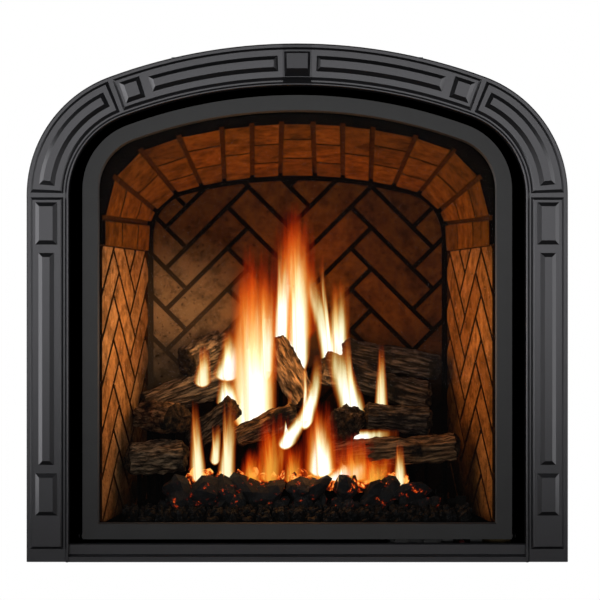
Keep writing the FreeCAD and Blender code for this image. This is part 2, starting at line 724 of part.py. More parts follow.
def surround():
    """All pieces of the pull-off surround."""
    middle = MEMBER_WIDTH / 2
    upright_x = SURROUND_HALF_WIDTH - middle
    knee = surround_arch.at(surround_arch.turn, middle, 0)
    seams = [
        (Vec(-upright_x, 0, surround_arch.springing), 0),
        (Vec(upright_x, 0, surround_arch.springing), 0),
        (Vec(-knee.x, 0, knee.z), math.pi / 2 - surround_arch.turn),
        (knee, math.pi / 2 + surround_arch.turn),
    ]
    plates, screws = [], []
    for place, angle in seams:
        plate, plate_screws = splice(place, angle)
        plates.append(plate)
        screws += plate_screws
    screws += [sill_screw(), mirrored(sill_screw())]
    jamb, corner = left_jamb(), left_corner()
    NODES["left_jamb"] = jamb.cut(screws)
    NODES["right_jamb"] = mirrored(jamb).cut(screws)
    NODES["left_corner_casting"] = corner.cut(screws)
    NODES["right_corner_casting"] = mirrored(corner).cut(screws)
    NODES["crown_casting"] = crown_arch().cut(screws)
    NODES["sill_rail"] = sill_rail().cut(screws)
    NODES["splice_plates"] = group(plates)
    NODES["surround_screws"] = group(screws)
    ceiling = MEMBER_LEVEL - MEMBER_WALL
    studs = []
    for place in stud_places():
        root = Vec(place.x, -ceiling, place.z)
        flange = rod(STUD_FLANGE_RADIUS, root, Vec(0, 1, 0), STUD_FLANGE_HEIGHT)
        studs.append(flange.fuse(rod(STUD_RADIUS, root, Vec(0, 1, 0), ceiling + STUD_REACH)))
    NODES["locating_studs"] = group(studs)


# Glass door
def door():
    """Frame with its welded pivot pins, pane, gasket and retainers."""
    lip = door_arch.inset(DOOR_FACE_WIDTH)
    face = door_arch.solid(DOOR_FRONT, face_back)
    face = face.cut(lip.solid(DOOR_FRONT - OVERRUN, face_back + OVERRUN))
    face = face.cut(ruled(lip.inset(-DOOR_LIP_BEVEL).wire(DOOR_FRONT), lip.wire(DOOR_FRONT + DOOR_LIP_BEVEL)))
    rim = door_arch.ring(DOOR_RETURN_WALL, face_back, return_back)
    pin = rod(PIVOT_RADIUS, pivot_place(), Vec(1, 0, 0), PIVOT_LENGTH)
    NODES["door_frame"] = face.multiFuse([rim, pin, mirrored(pin)])
    NODES["glass_pane"] = door_arch.inset(PANE_INSET).solid(pane_front, pane_back)
    NODES["pane_gasket"] = door_arch.inset(GASKET_INSET).ring(GASKET_WIDTH, face_back, pane_front)
    inside = door_arch.inset(DOOR_RETURN_WALL)
    back = pane_back + RETAINER_THICKNESS
    clips = []
    for share in RETAINER_SIDE_SHARES:
        z = inside.bottom + share * (inside.springing - inside.bottom)
        clip = box(inside.half_width - RETAINER_REACH, inside.half_width, pane_back, back,
                   z - RETAINER_LENGTH / 2, z + RETAINER_LENGTH / 2)
        clips += [clip, mirrored(clip)]
    for share in RETAINER_BOTTOM_SHARES:
        x = share * inside.half_width
        clips.append(box(x - RETAINER_LENGTH / 2, x + RETAINER_LENGTH / 2, pane_back, back,
                         inside.bottom, inside.bottom + RETAINER_REACH))
    band = inside.ring(RETAINER_REACH, pane_back, back)
    for share in CATCH_ANGLE_SHARES:
        spot = inside.at(share * inside.turn, 0, pane_back)
        clips.append(band.common(box(spot.x - RETAINER_LENGTH / 2, spot.x + RETAINER_LENGTH / 2,
                                     pane_back, back, inside.springing, inside.crown)))
    NODES["pane_retainers"] = group(clips)


def pivot_place():
    """Root of the right-hand pivot pin, on the side of the frame."""
    return Vec(door_arch.half_width, DOOR_FRONT + PIVOT_SETBACK, DOOR_BOTTOM + PIVOT_RISE)


def door_hardware():
    """Seat with its two catches, rope and pivot brackets that stay on the casing."""
    seat_arch = door_arch.inset(SEAT_INSET)
    seat = seat_arch.ring(SEAT_WIDTH, seat_front, seat_back)
    rope = door_arch.inset(ROPE_INSET)
    NODES["door_rope_seal"] = rope.ring(ROPE_WIDTH, pane_back + FIT_GAP, seat_front)
    tip = pane_back + RETAINER_THICKNESS + FIT_GAP
    catches = []
    for share in CATCH_ANGLE_SHARES:
        spot = door_arch.at(share * door_arch.turn, CATCH_INSET, tip)
        catches.append(rod(CATCH_RADIUS, spot, Vec(0, 1, 0), seat_front - tip))
    NODES["door_seat"] = seat.multiFuse(catches)
    pivot = pivot_place()
    x0 = pivot.x + BRACKET_GAP
    front = FIT_GAP + SHEET
    arm_low = SILL_HEIGHT + PIVOT_RADIUS
    arm_high = pivot.z + BRACKET_NOSE
    nose = pivot.y - BRACKET_NOSE
    profile = [(front, SHEET), (front, arm_low), (nose, arm_low), (nose, arm_high),
               (front, arm_high), (BRACKET_DEPTH, arm_low), (BRACKET_DEPTH, SHEET)]
    cheek = prism([Vec(x0, y, z) for y, z in profile], Vec(BRACKET_WALL, 0, 0))
    foot = box(x0 - BRACKET_FOOT, x0, front, BRACKET_DEPTH, SHEET, SHEET + BRACKET_WALL)
    hole = rod(PIVOT_RADIUS + RUNNING_GAP, Vec(x0 - OVERRUN, pivot.y, pivot.z), Vec(1, 0, 0),
               BRACKET_WALL + 2 * OVERRUN)
    bracket = cheek.fuse(foot).cut(hole)
    NODES["pivot_brackets"] = group([bracket, mirrored(bracket)])


# Casing
def casing():
    """Base pan folded up into the back, outer wrap, fascia, tabs and stand-offs."""
    half, top = casing_outline.half_width, casing_outline.top
    front = FIT_GAP + FASCIA_SHEET
    pan = box(-half, half, 0, casing_back, 0, SHEET)
    wrap = casing_outline.solid(front, casing_back)
    wrap = wrap.cut(casing_outline.inset(SHEET).solid(front - OVERRUN, casing_back + OVERRUN))
    inlet_y = VALVE_Y + PIPE_SETBACK
    wrap = wrap.cut(rod(INLET_HOLE_RADIUS, Vec(half - SHEET - OVERRUN, inlet_y, SHEET + VALVE_AXIS),
                        Vec(1, 0, 0), SHEET + 2 * OVERRUN))
    vent = rod(VENT_OUTER_RADIUS, Vec(0, VENT_Y, top - SHEET - OVERRUN), Vec(0, 0, 1), SHEET + 2 * OVERRUN)
    NODES["outer_wrap"] = wrap.cut(vent)
    rear = HipBox(half, top, casing_hip, 0)
    NODES["base_and_back_pan"] = pan.fuse(rear.solid(casing_back, casing_back + SHEET))
    fascia = casing_outline.solid(FIT_GAP, front)
    fascia = fascia.cut(fascia_opening.solid(FIT_GAP - OVERRUN, front + OVERRUN))
    holes = [rod(STUD_RADIUS + FIT_GAP, Vec(spot.x, FIT_GAP - OVERRUN, spot.z), Vec(0, 1, 0),
                 FASCIA_SHEET + 2 * OVERRUN) for spot in stud_places()]
    NODES["front_fascia"] = fascia.cut(holes)
    tabs = []
    for lift in (-TAB_SPACING / 2, TAB_SPACING / 2):
        low, high = TAB_MIDDLE + lift - TAB_HEIGHT / 2, TAB_MIDDLE + lift + TAB_HEIGHT / 2
        ear = box(half, half + TAB_REACH, TAB_SETBACK, TAB_SETBACK + SHEET, low, high)
        flange = box(half, half + SHEET, TAB_SETBACK, TAB_SETBACK + TAB_FLANGE, low, high)
        hole = rod(TAB_HOLE_RADIUS, Vec(half + TAB_HOLE_REACH, TAB_SETBACK - OVERRUN, TAB_MIDDLE + lift),
                   Vec(0, 1, 0), SHEET + 2 * OVERRUN)
        tab = ear.fuse(flange).cut(hole)
        tabs += [tab, mirrored(tab)]
    NODES["nailing_tabs"] = group(tabs)
    NODES["top_standoffs"] = group([standoff(side * STANDOFF_X, front + share * (casing_back - front))
                                    for side in LEFT_RIGHT for share in STANDOFF_Y_SHARES])


def standoff(x, y):
    """Hat-shaped spacer that keeps framing off the hot top."""
    half, rise, foot = STANDOFF_WIDTH / 2, STANDOFF_HEIGHT, STANDOFF_FOOT
    outline = [(-half - foot, 0), (-half, 0), (-half, rise - SHEET), (half, rise - SHEET), (half, 0),
               (half + foot, 0), (half + foot, SHEET), (half + SHEET, SHEET), (half + SHEET, rise),
               (-half - SHEET, rise), (-half - SHEET, SHEET), (-half - foot, SHEET)]
    points = [Vec(x + across, y - STANDOFF_LENGTH / 2, casing_outline.top + up) for across, up in outline]
    return prism(points, Vec(0, STANDOFF_LENGTH, 0))


# Firebox
def firebox():
    """Steel shell with its back, floor on welded legs and the two vent collars."""
    outer = shell_arch.solid(seat_back, shell_back + SHELL_WALL)
    shell = outer.cut(shell_inside.solid(seat_back - OVERRUN, shell_back))
    vent_top = SURROUND_HEIGHT - VENT_TOP_COVER
    foot = Vec(0, VENT_Y, shell_inside.crown - VENT_INNER_DIP)
    flue = rod(VENT_INNER_RADIUS, foot, Vec(0, 0, 1), vent_top - foot.z)
    bead = rod(VENT_INNER_RADIUS + VENT_BEAD, Vec(0, VENT_Y, vent_top - VENT_SOCKET - VENT_BEAD_HEIGHT),
               Vec(0, 0, 1), VENT_BEAD_HEIGHT)
    NODES["firebox_shell"] = shell.cut(flue)
    flue_bore = rod(VENT_INNER_RADIUS - VENT_WALL, Vec(0, VENT_Y, foot.z - OVERRUN), Vec(0, 0, 1),
                    vent_top - foot.z + 2 * OVERRUN)
    NODES["inner_vent_collar"] = flue.fuse(bead).cut(flue_bore)
    collar_top = vent_top - VENT_INNER_PROUD
    collar = rod(VENT_OUTER_RADIUS, foot, Vec(0, 0, 1), collar_top - foot.z)
    collar = collar.fuse(rod(VENT_OUTER_RADIUS + VENT_FLANGE, Vec(0, VENT_Y, casing_outline.top),
                             Vec(0, 0, 1), SHEET))
    collar = collar.cut(rod(VENT_OUTER_RADIUS - VENT_WALL, Vec(0, VENT_Y, foot.z - OVERRUN), Vec(0, 0, 1),
                            collar_top - foot.z + 2 * OVERRUN))
    NODES["outer_vent_collar"] = collar.cut(outer)
    tubes = [manifold_bar(), pilot_bar()]
    deck = box(-shell_arch.half_width, shell_arch.half_width, seat_back, shell_back + SHELL_WALL,
               FLOOR_HEIGHT, floor_top)
    legs = []
    rear_y = shell_back - LEG_REAR_INSET
    front_x = valve_x - VALVE_BRACKET_LAP - LEG_GAP - LEG_SIZE
    rear_x = shell_arch.half_width - LEG_SIDE_INSET - LEG_SIZE
    for x, y in ((front_x, LEG_FRONT_Y), (rear_x, rear_y)):
        post = box(x, x + LEG_SIZE, y, y + LEG_SIZE, SHEET, FLOOR_HEIGHT)
        post = post.cut(box(x + LEG_WALL, x + LEG_SIZE - LEG_WALL, y + LEG_WALL, y + LEG_SIZE + OVERRUN,
                            SHEET - OVERRUN, FLOOR_HEIGHT + OVERRUN))
        legs += [post, mirrored(post)]
    NODES["firebox_floor"] = deck.multiFuse(legs).cut(tubes)


# Brick liner
def herringbone(width, height, shift, lift):
    """Loose bricks in a 45 degree herringbone, face up, over a rectangle from the origin."""
    long_side = BRICK_PITCH_COUNT * BRICK_PITCH
    flat = Part.makeBox(long_side - BRICK_JOINT, BRICK_PITCH - BRICK_JOINT, BRICK_RELIEF,
                        Vec(BRICK_JOINT / 2, BRICK_JOINT / 2, 0))
    upright = Part.makeBox(BRICK_PITCH - BRICK_JOINT, long_side - BRICK_JOINT, BRICK_RELIEF,
                           Vec(BRICK_JOINT / 2, BRICK_PITCH + BRICK_JOINT / 2, 0))
    pair = []
    for brick in (flat, upright):
        brick.rotate(Vec(0, 0, 0), Vec(0, 0, 1), math.degrees(math.pi / 4))
        pair.append(brick)
    step_up = math.sqrt(2) * BRICK_PITCH
    step_across = math.sqrt(2) * long_side
    bricks = []
    for column in range(-2, int(width / step_across) + 2):
        for row in range(-BRICK_PITCH_COUNT - 2, int(height / step_up) + 2):
            for brick in pair:
                copy = brick.copy()
                copy.translate(Vec(shift + column * step_across, lift + row * step_up, 0))
                bounds = copy.BoundBox
                if bounds.XMax > 0 and bounds.XMin < width and bounds.YMax > 0 and bounds.YMin < height:
                    bricks.append(copy)
    return bricks


def faced(slab, clip, bricks):
    """Slab with the bricks that fall inside a clip standing on it."""
    faces = Part.makeCompound(bricks).common(clip)
    return slab.multiFuse(faces.Solids)


def left_liner():
    """Side panel: herringbone on its inner face, splayed in towards the back."""
    run = math.hypot(LINER_SPLAY, LINER_DEPTH)
    thickness = LINER_THICKNESS * LINER_DEPTH / run
    slab = Part.makeBox(run, SIDE_PANEL_HEIGHT, thickness - BRICK_RELIEF,
                        Vec(0, 0, BRICK_RELIEF - thickness))
    clip = Part.makeBox(run - 2 * BRICK_MARGIN, SIDE_PANEL_HEIGHT - 2 * BRICK_MARGIN, BRICK_RELIEF,
                        Vec(BRICK_MARGIN, BRICK_MARGIN, 0))
    panel = faced(slab, clip, herringbone(run, SIDE_PANEL_HEIGHT, 0, 0))
    panel.translate(Vec(0, 0, -BRICK_RELIEF))
    panel.rotate(Vec(0, 0, 0), Vec(1, 0, 0), math.degrees(math.pi / 2))
    panel.rotate(Vec(0, 0, 0), Vec(0, 0, 1), math.degrees(math.atan2(LINER_DEPTH, LINER_SPLAY)))
    panel.translate(Vec(-liner_front_half, seat_back, floor_top))
    return panel.common(box(-shell_inside.half_width + FIT_GAP, 0, seat_back, liner_back_plane,
                            floor_top, side_top))


def vault_arch(share):
    """Arch that the vault's courses follow, at a share of its depth."""
    setback_share = VAULT_SETBACK / LINER_DEPTH
    depth_share = setback_share + share * (1 - setback_share)
    half = liner_front_half - depth_share * LINER_SPLAY
    crown = shell_inside.crown - VAULT_DROP - share * VAULT_SLOPE
    shoulder = VAULT_FRONT_SHOULDER + share * (VAULT_BACK_SHOULDER - VAULT_FRONT_SHOULDER)
    return Arch(half, crown, VAULT_CROWN_RADIUS, shoulder, side_top)


def vault_point(fraction, share_front, share_back, lift, side):
    """Point on the vault's brick face, on the line joining two places on its front and back edges."""
    y0, y1 = seat_back + VAULT_SETBACK, liner_back_plane
    front, back = vault_arch(0), vault_arch(1)
    p0, n0 = front.along(share_front * front.half_length(side_top), y0)
    p1, n1 = back.along(share_back * back.half_length(side_top), y1)
    place = (p0 + n0 * lift) * (1 - fraction) + (p1 + n1 * lift) * fraction
    return Vec(side * place.x, place.y, place.z)


def vault_groove(first, second, side, overrun):
    """Cutter for a joint along the vault's face between two (fraction, front share, back share) places."""
    def corners(place):
        low = vault_point(*place, -LINER_THICKNESS, side)
        high = vault_point(*place, BRICK_RELIEF, side)
        return low, high

    low0, high0 = corners(first)
    low1, high1 = corners(second)
    along = (low1 - low0).normalize()
    beyond = along * overrun
    low0, high0, low1, high1 = low0 - beyond, high0 - beyond, low1 + beyond, high1 + beyond
    outlines = []
    for low, high in ((low0, high0), (low1, high1)):
        across = along.cross(high - low).normalize() * (BRICK_JOINT / 2)
        ring = [low - across, low + across, high + across, high - across]
        outlines.append(ring)
    return polyhedron(outlines)


def vault_line(edge, lift, corner_lift):
    """Line of flat courses on the front or back edge, from the left foot over the crown to the right."""
    shares = (FRONT_JOINT_SHARES, BACK_JOINT_SHARES)[edge] + (1.0,)
    first, last = VAULT_CORNER_SHARES
    lifts = [corner_lift if first < share < last else lift for share in shares]
    places = list(zip(shares, lifts))
    right = [vault_point(edge, share, share, height, 1) for share, height in places]
    left = [vault_point(edge, share, share, height, -1) for share, height in reversed(places)]
    return left + right


def vault():
    """Vault of flat brick courses over the firebox, sloping down to the back, with its joints cut in.

    Its front edge is thicker at the shoulders, where it fills the corners of the door opening.
    """
    rings = []
    for edge, corner_lift in ((0, VAULT_CORNER_THICKNESS), (1, LINER_THICKNESS)):
        outer = vault_line(edge, LINER_THICKNESS, corner_lift)
        rings.append(vault_line(edge, 0, 0) + outer[::-1])
    shell = polyhedron(rings)
    cutters = []
    joints = list(zip(FRONT_JOINT_SHARES, BACK_JOINT_SHARES))
    for side in LEFT_RIGHT:
        for share_front, share_back in joints:
            front, back = (0, share_front, share_back), (1, share_front, share_back)
            cutters.append(vault_groove(front, back, side, OVERRUN))
        edges = joints + [(1.0, 1.0)]
        for index in range(len(edges) - 1):
            for split in COURSE_SPLIT_SHARES[index % len(COURSE_SPLIT_SHARES)]:
                upper, lower = (split, *edges[index]), (split, *edges[index + 1])
                cutters.append(vault_groove(upper, lower, side, 0))
    for split in COURSE_SPLIT_SHARES[-1]:
        front_half, back_half = FRONT_JOINT_SHARES[0], BACK_JOINT_SHARES[0]
        low = vault_point(split, front_half, back_half, -OVERRUN, 1)
        high = vault_point(split, front_half, back_half, BRICK_RELIEF, 1)
        cutters.append(box(-low.x, low.x, low.y - BRICK_JOINT / 2, low.y + BRICK_JOINT / 2, low.z, high.z))
    return shell.cut(cutters)


def liner():
    """Two side panels, the back panel and the vault."""
    panel = left_liner()
    NODES["liner_left"] = panel
    NODES["liner_right"] = mirrored(panel)
    back = vault_arch(1).on(floor_top)
    slab = back.inset(-LINER_THICKNESS).on(floor_top)
    slab = slab.solid(liner_back_plane, liner_back_plane + LINER_THICKNESS)
    clip = back.inset(BACK_MARGIN).solid(liner_back_plane - BRICK_RELIEF, liner_back_plane)
    width, height = 2 * back.half_width, back.crown - floor_top
    bricks = herringbone(width, height, BACK_PATTERN_SHIFT, BACK_PATTERN_LIFT)
    for brick in bricks:
        brick.rotate(Vec(0, 0, 0), Vec(1, 0, 0), math.degrees(math.pi / 2))
        brick.translate(Vec(-back.half_width, liner_back_plane, floor_top))
    NODES["liner_back"] = faced(slab, clip, bricks)
    NODES["liner_vault"] = vault()


# Burner and gas train
def route(points, radius, bend):
    """Round bar along straight runs joined by tangent arcs."""
    edges = []
    here = points[0]
    for before, corner, after in zip(points, points[1:], points[2:]):
        arriving = (corner - before).normalize()
        leaving = (after - corner).normalize()
        half_turn = arriving.getAngle(leaving) / 2
        setback = bend * math.tan(half_turn)
        start, end = corner - arriving * setback, corner + leaving * setback
        inward = (leaving - arriving).normalize()
        middle = corner + inward * (bend / math.cos(half_turn) - bend)
        edges += [Part.LineSegment(here, start).toShape(), Part.Arc(start, middle, end).toShape()]
        here = end
    edges.append(Part.LineSegment(here, points[-1]).toShape())
    ring = Part.Wire(Part.makeCircle(radius, points[0], points[1] - points[0]))
    return Part.Wire(edges).makePipeShell([ring], True, False)


def valve_axis_z():
    """Height of the knobs, ports and supply pipe."""
    return SHEET + VALVE_AXIS


def manifold_bar():
    """Solid of the main gas tube, from the valve's back up through the floor to the spud."""
    z = valve_axis_z()
    x0 = valve_x + VALVE_WIDTH / 2
    y0 = VALVE_Y + VALVE_DEPTH
    elbow_x = spud_x + SPUD_LENGTH + ELBOW_SIZE / 2
    run = 2 * TUBE_BEND
    points = [Vec(x0, y0, z), Vec(x0, y0 + run, z), Vec(elbow_x, burner_axis_y, z),
              Vec(elbow_x, burner_axis_y, floor_top + VENTURI_HEIGHT - ELBOW_SIZE / 2)]
    return route(points, TUBE_RADIUS, TUBE_BEND)


def pilot_y():
    """Depth of the pilot's burner and probes, behind the main burner."""
    return burner_front + BURNER_DEPTH + PILOT_GAP + PILOT_PLATE + PILOT_SHELF / 2


def pilot_bar():
    """Solid of the small tube from the valve's back to the pilot."""
    z = valve_axis_z()
    start = Vec(valve_x + PILOT_TUBE_INSET, VALVE_Y + VALVE_DEPTH, z)
    points = [start, Vec(valve_x + PILOT_TUBE_INSET, pilot_y(), z), Vec(PILOT_X, pilot_y(), z),
              Vec(PILOT_X, pilot_y(), floor_top + PILOT_SHELF_HEIGHT - PILOT_PLATE)]
    return route(points, PILOT_TUBE_RADIUS, PILOT_TUBE_BEND)


def burner():
    """Tray with its welded venturi, ported top, air shutter, spud and main tube."""
    half, y0, y1 = burner_half_width, burner_front, burner_front + BURNER_DEPTH
    rim = floor_top + BURNER_HEIGHT
    axis = Vec(half - VENTURI_INSIDE, burner_axis_y, floor_top + VENTURI_HEIGHT)
    length = VENTURI_INSIDE + VENTURI_OUTSIDE
    pipe = rod(VENTURI_RADIUS, axis, Vec(1, 0, 0), length)
    tray = box(-half, half, y0, y1, floor_top, rim)
    tray = tray.cut(box(-half + BURNER_WALL, half - BURNER_WALL, y0 + BURNER_WALL, y1 - BURNER_WALL,
                        floor_top + BURNER_WALL, rim + OVERRUN))
    pitch = 2 * half / (PORT_COUNT + 1)
    ports = []
    for index in range(PORT_COUNT):
        x = -half + (index + 1) * pitch
        for share in PORT_ROW_SHARES:
            y = y0 + share * BURNER_DEPTH
            ports.append(box(x - PORT_LENGTH / 2, x + PORT_LENGTH / 2, y - PORT_WIDTH / 2, y + PORT_WIDTH / 2,
                             rim - OVERRUN, burner_top_level + OVERRUN))
    NODES["burner_top"] = box(-half, half, y0, y1, rim, burner_top_level).cut(ports)
    bore = rod(VENTURI_RADIUS - VENTURI_WALL, axis - Vec(OVERRUN, 0, 0), Vec(1, 0, 0), length + 2 * OVERRUN)
    mouth = half + VENTURI_OUTSIDE
    window_end = mouth - WINDOW_INSET
    window = box(window_end - WINDOW_LENGTH, window_end, axis.y - VENTURI_RADIUS / 2,
                 axis.y + VENTURI_RADIUS / 2, axis.z, axis.z + 2 * VENTURI_RADIUS)
    NODES["burner_tray"] = tray.fuse(pipe).cut(bore).cut(window)
    sleeve_start = Vec(mouth - SHUTTER_LENGTH, axis.y, axis.z)
    inner = VENTURI_RADIUS + RUNNING_GAP
    sleeve = rod(inner + SHUTTER_WALL, sleeve_start, Vec(1, 0, 0), SHUTTER_LENGTH)
    thumb = box(sleeve_start.x, sleeve_start.x + SHUTTER_WALL, axis.y - SHUTTER_TAB / 2,
                axis.y + SHUTTER_TAB / 2, axis.z, axis.z + inner + SHUTTER_TAB)
    sleeve = sleeve.fuse(thumb).cut(rod(inner, sleeve_start - Vec(OVERRUN, 0, 0), Vec(1, 0, 0),
                                        SHUTTER_LENGTH + 2 * OVERRUN))
    NODES["air_shutter"] = sleeve.cut(window)
    start = Vec(spud_x, axis.y, axis.z)
    nozzle = rod(SPUD_RADIUS, start, Vec(1, 0, 0), SPUD_LENGTH)
    elbow_x = start.x + SPUD_LENGTH
    elbow = box(elbow_x, elbow_x + ELBOW_SIZE, axis.y - ELBOW_SIZE / 2, axis.y + ELBOW_SIZE / 2,
                axis.z - ELBOW_SIZE / 2, axis.z + ELBOW_SIZE / 2)
    spud = nozzle.fuse(elbow).cut(rod(SPUD_BORE_RADIUS, start - Vec(OVERRUN, 0, 0), Vec(1, 0, 0),
                                      SPUD_LENGTH + OVERRUN))
    NODES["orifice_spud"] = spud
    NODES["manifold_tube"] = manifold_bar()


def pilot():
    """Hooded burner on its bracket, spark electrode with flame sensor, and tube."""
    front = burner_front + BURNER_DEPTH + PILOT_GAP
    shelf_z = floor_top + PILOT_SHELF_HEIGHT
    half = PILOT_WIDTH / 2
    upright = box(PILOT_X - half, PILOT_X + half, front, front + PILOT_PLATE, floor_top, shelf_z)
    shelf = box(PILOT_X - half, PILOT_X + half, front, front + PILOT_PLATE + PILOT_SHELF,
                shelf_z - PILOT_PLATE, shelf_z)
    spot = Vec(PILOT_X, pilot_y(), shelf_z)
    hood = rod(PILOT_HOOD_RADIUS, spot, Vec(0, 0, 1), PILOT_HOOD_HEIGHT)
    hood = hood.cut(rod(PILOT_HOOD_RADIUS - PILOT_HOOD_WALL, spot, Vec(0, 0, 1),
                        PILOT_HOOD_HEIGHT - PILOT_HOOD_WALL))
    slot_top = shelf_z + PILOT_HOOD_HEIGHT - PILOT_HOOD_WALL
    hood = hood.cut(box(PILOT_X - PILOT_HOOD_RADIUS / 2, PILOT_X + PILOT_HOOD_RADIUS / 2,
                        front, spot.y, slot_top - PILOT_SLOT, slot_top))
    probes = []
    for side in LEFT_RIGHT:
        root = Vec(PILOT_X + side * PROBE_SPACING, spot.y, shelf_z - PROBE_DROP)
        pin = rod(PROBE_RADIUS, root, Vec(0, 0, 1), PROBE_DROP + PROBE_HEIGHT)
        collar = rod(PROBE_COLLAR_RADIUS, Vec(root.x, root.y, shelf_z), Vec(0, 0, 1), PROBE_COLLAR_HEIGHT)
        probes.append(pin.fuse(collar))
    NODES["pilot_assembly"] = group([upright.multiFuse([shelf, hood]).cut(probes)] + probes)
    NODES["pilot_tube"] = pilot_bar()


def knob_places():
    """Front of the valve at its two control bosses."""
    return [Vec(valve_x + share * VALVE_WIDTH, VALVE_Y, valve_axis_z()) for share in KNOB_X_SHARES]


def knob(place):
    """Fluted knob with a skirt, a raised pointer and a stem into the valve's boss."""
    back = Vec(place.x, place.y - BOSS_LENGTH - FIT_GAP, place.z)
    body = rod(KNOB_RADIUS, back, Vec(0, -1, 0), KNOB_LENGTH)
    skirt = rod(KNOB_SKIRT_RADIUS, back, Vec(0, -1, 0), KNOB_SKIRT)
    flutes = []
    for index in range(KNOB_FLUTES):
        angle = 2 * math.pi * index / KNOB_FLUTES
        spot = Vec(back.x + KNOB_SKIRT_RADIUS * math.sin(angle), back.y - KNOB_SKIRT,
                   back.z + KNOB_SKIRT_RADIUS * math.cos(angle))
        flutes.append(rod(KNOB_FLUTE_RADIUS, spot, Vec(0, -1, 0), KNOB_LENGTH))
    face = back.y - KNOB_LENGTH
    pointer = box(back.x - KNOB_POINTER / 2, back.x + KNOB_POINTER / 2, face - KNOB_POINTER / 2, face,
                  back.z, back.z + KNOB_RADIUS - KNOB_FLUTE_RADIUS)
    stem = rod(KNOB_STEM_RADIUS, back, Vec(0, 1, 0), KNOB_STEM_LENGTH)
    return body.cut(flutes).multiFuse([skirt, pointer, stem])


def controls():
    """Valve on its bracket, two knobs, igniter with its button, supply pipe, shut-off and lever."""
    z0 = SHEET + VALVE_BRACKET
    y1 = VALVE_Y + VALVE_DEPTH
    block = box(valve_x, valve_x + VALVE_WIDTH, VALVE_Y, y1, z0, z0 + VALVE_HEIGHT)
    uprights = [edge for edge in block.Edges if abs(edge.tangentAt(edge.FirstParameter).z) > 1 / 2]
    block = block.makeFillet(VALVE_EDGE, uprights)
    bosses = [rod(BOSS_RADIUS, place, Vec(0, -1, 0), BOSS_LENGTH) for place in knob_places()]
    cap = rod(REGULATOR_RADIUS, Vec(valve_x + VALVE_WIDTH / 2, VALVE_Y + VALVE_DEPTH / 2, z0 + VALVE_HEIGHT),
              Vec(0, 0, 1), REGULATOR_HEIGHT)
    holes = [rod(KNOB_STEM_RADIUS + RUNNING_GAP, Vec(place.x, place.y - BOSS_LENGTH - OVERRUN, place.z),
                 Vec(0, 1, 0), KNOB_STEM_LENGTH + OVERRUN) for place in knob_places()]
    NODES["gas_valve"] = block.multiFuse(bosses + [cap]).cut(holes)
    NODES["gas_knob"], NODES["flame_knob"] = [knob(place) for place in knob_places()]
    igniter()
    shutoff()


def igniter():
    """Bracket under the valve and push-button spark igniter in its upright ear."""
    z = valve_axis_z()
    right = igniter_x + IGNITER_PLATE_WIDTH / 2
    plate = box(valve_x - VALVE_BRACKET_LAP, right, VALVE_Y, VALVE_Y + VALVE_DEPTH,
                SHEET, SHEET + VALVE_BRACKET)
    upright = box(right - IGNITER_PLATE_WIDTH, right, VALVE_Y, VALVE_Y + IGNITER_PLATE,
                  SHEET, IGNITER_PLATE_HEIGHT)
    spot = Vec(igniter_x, VALVE_Y, z)
    barrel = rod(IGNITER_RADIUS, spot, Vec(0, 1, 0), IGNITER_LENGTH)
    collar = rod(IGNITER_COLLAR_RADIUS, spot, Vec(0, -1, 0), IGNITER_COLLAR)
    front = VALVE_Y - IGNITER_COLLAR
    depth = IGNITER_COLLAR + BUTTON_INSIDE + BUTTON_TRAVEL + FIT_GAP
    well = rod(BUTTON_RADIUS + FIT_GAP, Vec(igniter_x, front, z), Vec(0, 1, 0), depth)
    NODES["control_bracket"] = plate.fuse(upright).cut(barrel)
    NODES["igniter_body"] = barrel.fuse(collar).cut(well)
    button = rod(BUTTON_RADIUS, Vec(igniter_x, front - BUTTON_PROUD, z), Vec(0, 1, 0),
                 BUTTON_PROUD + IGNITER_COLLAR + BUTTON_INSIDE)
    rims = [edge for edge in button.Edges if edge.BoundBox.YMax < front - BUTTON_PROUD / 2
            and edge.BoundBox.YLength < BUTTON_TRAVEL / 2]
    NODES["igniter_button"] = button.makeChamfer(BUTTON_RADIUS / 4, rims)


